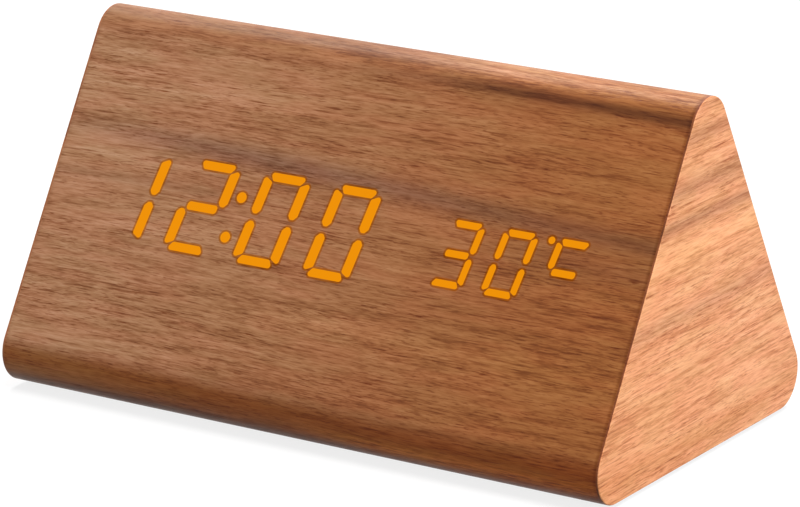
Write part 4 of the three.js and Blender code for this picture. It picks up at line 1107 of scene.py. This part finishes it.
for colour, (y, padAlong, between) in lead["routes"].items():
    tabX, tabZ = lead["tab"]
    corners = ((tabX, y, tabZ), (tabX, y, tabZ + lead["rise"]), *between)
    points = [baseFrame @ Vector(corner) for corner in corners]
    for height in (lead["approach"], lead["pad"]):
        points.append(rearSlope @ Vector((padAlong, lead["padDrop"], height)))
    path, bare = smoothPath(points, lead["segmentSteps"]), lead["bareSteps"]
    mesh = joined([tubeMesh(path[bare:-bare], lead["radius"], lead["sides"]),
                   marked(tubeMesh(path[:bare + 2], lead["bareRadius"]), 1),
                   marked(tubeMesh(path[-bare - 2:], lead["bareRadius"]), 1)])
    addPiece(f"{colour}BatteryLead", mesh, [f"{colour}Insulation", "contactNickel"],
             f"{colour}_battery_lead")
print("wiring made")

# pieces whose solids already have their shape: a finish of their own and rounded edges
dressed = {
    "left_end_board": ("fibreboard", 0.2), "right_end_board": ("fibreboard", 0.2),
    "display_reflector": ("whitePlastic", 0.08), "display_board": ("circuitBoard", 0.06),
    "control_board": ("circuitBoard", 0.08), "buzzer": ("componentBlack", 0.3),
    "microcontroller": ("componentBlack", 0.12), "clock_crystal": ("contactNickel", 0.2),
    "temperature_sensor": ("sensorBead", 0.0),
    **{f"{name}_switch_body": ("componentBlack", 0.12) for name in button["places"]},
    **{f"{name}_switch_plunger": ("blackPlastic", 0.15) for name in button["places"]},
}
weldReach = 0.001 * mm
for name, (finish, edge) in dressed.items():
    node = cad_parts[name]
    if not node.material_slots:
        node.data.materials.append(finishes[finish])
    for slot in node.material_slots:
        slot.material = finishes[finish]
    if edge:
        node.modifiers.new("weld", "WELD").merge_threshold = weldReach
        withSettings(node.modifiers.new("edges", "BEVEL"), **bevel(edge * mm, 2))
print("inner pieces dressed")

# camera at the photograph's viewing angle, lights and floor
view = {
    "azimuth": 32.32, "elevation": 16.522, "roll": 0.305, "target": (0, 0, 36 * mm),
    "shift": metres((0.166, -3.117, 924.68)),  # from the target, along the camera's own axes
    "focalPixels": 4286.3, "imageWidth": 800, "sensor": 36, "clip": (0.05, 20),
}


def addCamera():
    azimuth, elevation, roll = (math.radians(view[k]) for k in ("azimuth", "elevation", "roll"))
    turn = (Matrix.Rotation(azimuth, 4, "Z") @ Matrix.Rotation(math.pi / 2 - elevation, 4, "X")
            @ Matrix.Rotation(roll, 4, "Z"))
    data = bpy.data.cameras.new("camera")
    data.sensor_width = view["sensor"]
    data.lens = view["focalPixels"] / view["imageWidth"] * view["sensor"]
    data.clip_start, data.clip_end = view["clip"]
    camera = bareObject("camera", data)
    camera.matrix_world = Matrix.Translation(view["target"]) @ turn @ Matrix.Translation(view["shift"])
    scene.camera = camera


addCamera()

studio = {
    "sky": 0.22,
    "lamps": {  # place and size in metres, power in watts
        "key": ((0.56, -0.32, 1.46), 0.9, 21.0),
        "right": ((1.1, 0.1, 0.42), 0.86, 9.9),
        "top": ((-0.4, 0.34, 0.98), 0.35, 7.0),  # for the sheen along the top round
        "left": ((-1.1, -0.9, 0.8), 0.8, 1.8),
        "rear": ((-0.3, 1.0, 0.7), 0.8, 2.0),
    },
    "aim": (0, 0, 0.035),
    "floor": 0.2, "floorSize": 12, "floorRoughness": 0.9,
    "floorGlow": 0.82, "floorFade": (0.25, 1.0),  # the floor turns white away from the clock
}


def seenDirectly(tree):
    camera, glossy, through = (addNode(tree, "ShaderNodeLightPath", {}, f"Is {kind} Ray")
                               for kind in ("Camera", "Glossy", "Transmission"))
    return calc(tree, "MAXIMUM", calc(tree, "MAXIMUM", camera, glossy), through)


def addStudio():
    for name, (place, size, power) in studio["lamps"].items():
        data = withSettings(bpy.data.lights.new(name, "AREA"), shape="DISK", size=size, energy=power)
        lamp = bareObject(name, data)
        lamp.location = place
        lamp.rotation_euler = (Vector(studio["aim"]) - Vector(place)).to_track_quat("-Z", "Y").to_euler()
    world = scene.world = bpy.data.worlds.new("world")
    world.use_nodes = True
    tree = world.node_tree
    background = next(n for n in tree.nodes if n.type == "BACKGROUND")
    sky = ranged(tree, seenDirectly(tree), 0.0, 1.0, studio["sky"], 1.0)
    setInputs(tree, background, {"Color": (1, 1, 1), "Strength": sky})
    tree, shader = newFinish("paleFloor")
    reach = addNode(tree, "ShaderNodeVectorMath", {0: objectPlace(tree)}, "Value", operation="LENGTH")
    white = ranged(tree, reach, *studio["floorFade"], studio["floorGlow"], 1.0)
    setInputs(tree, shader, {
        "Base Color": (studio["floor"],) * 3, "Roughness": studio["floorRoughness"],
        "Specular IOR Level": 0.0, "Emission Color": (1, 1, 1),
        "Emission Strength": calc(tree, "MULTIPLY", seenDirectly(tree), white)})
    corners = [(x, y, 0) for x, y in rectangle(studio["floorSize"], studio["floorSize"])]
    floor = bareObject("floor", meshFrom(corners, [(0, 1, 2, 3)]))
    floor.data.materials.append(finishes["paleFloor"])


addStudio()
scene.view_settings.view_transform = "Standard"
print("studio made")
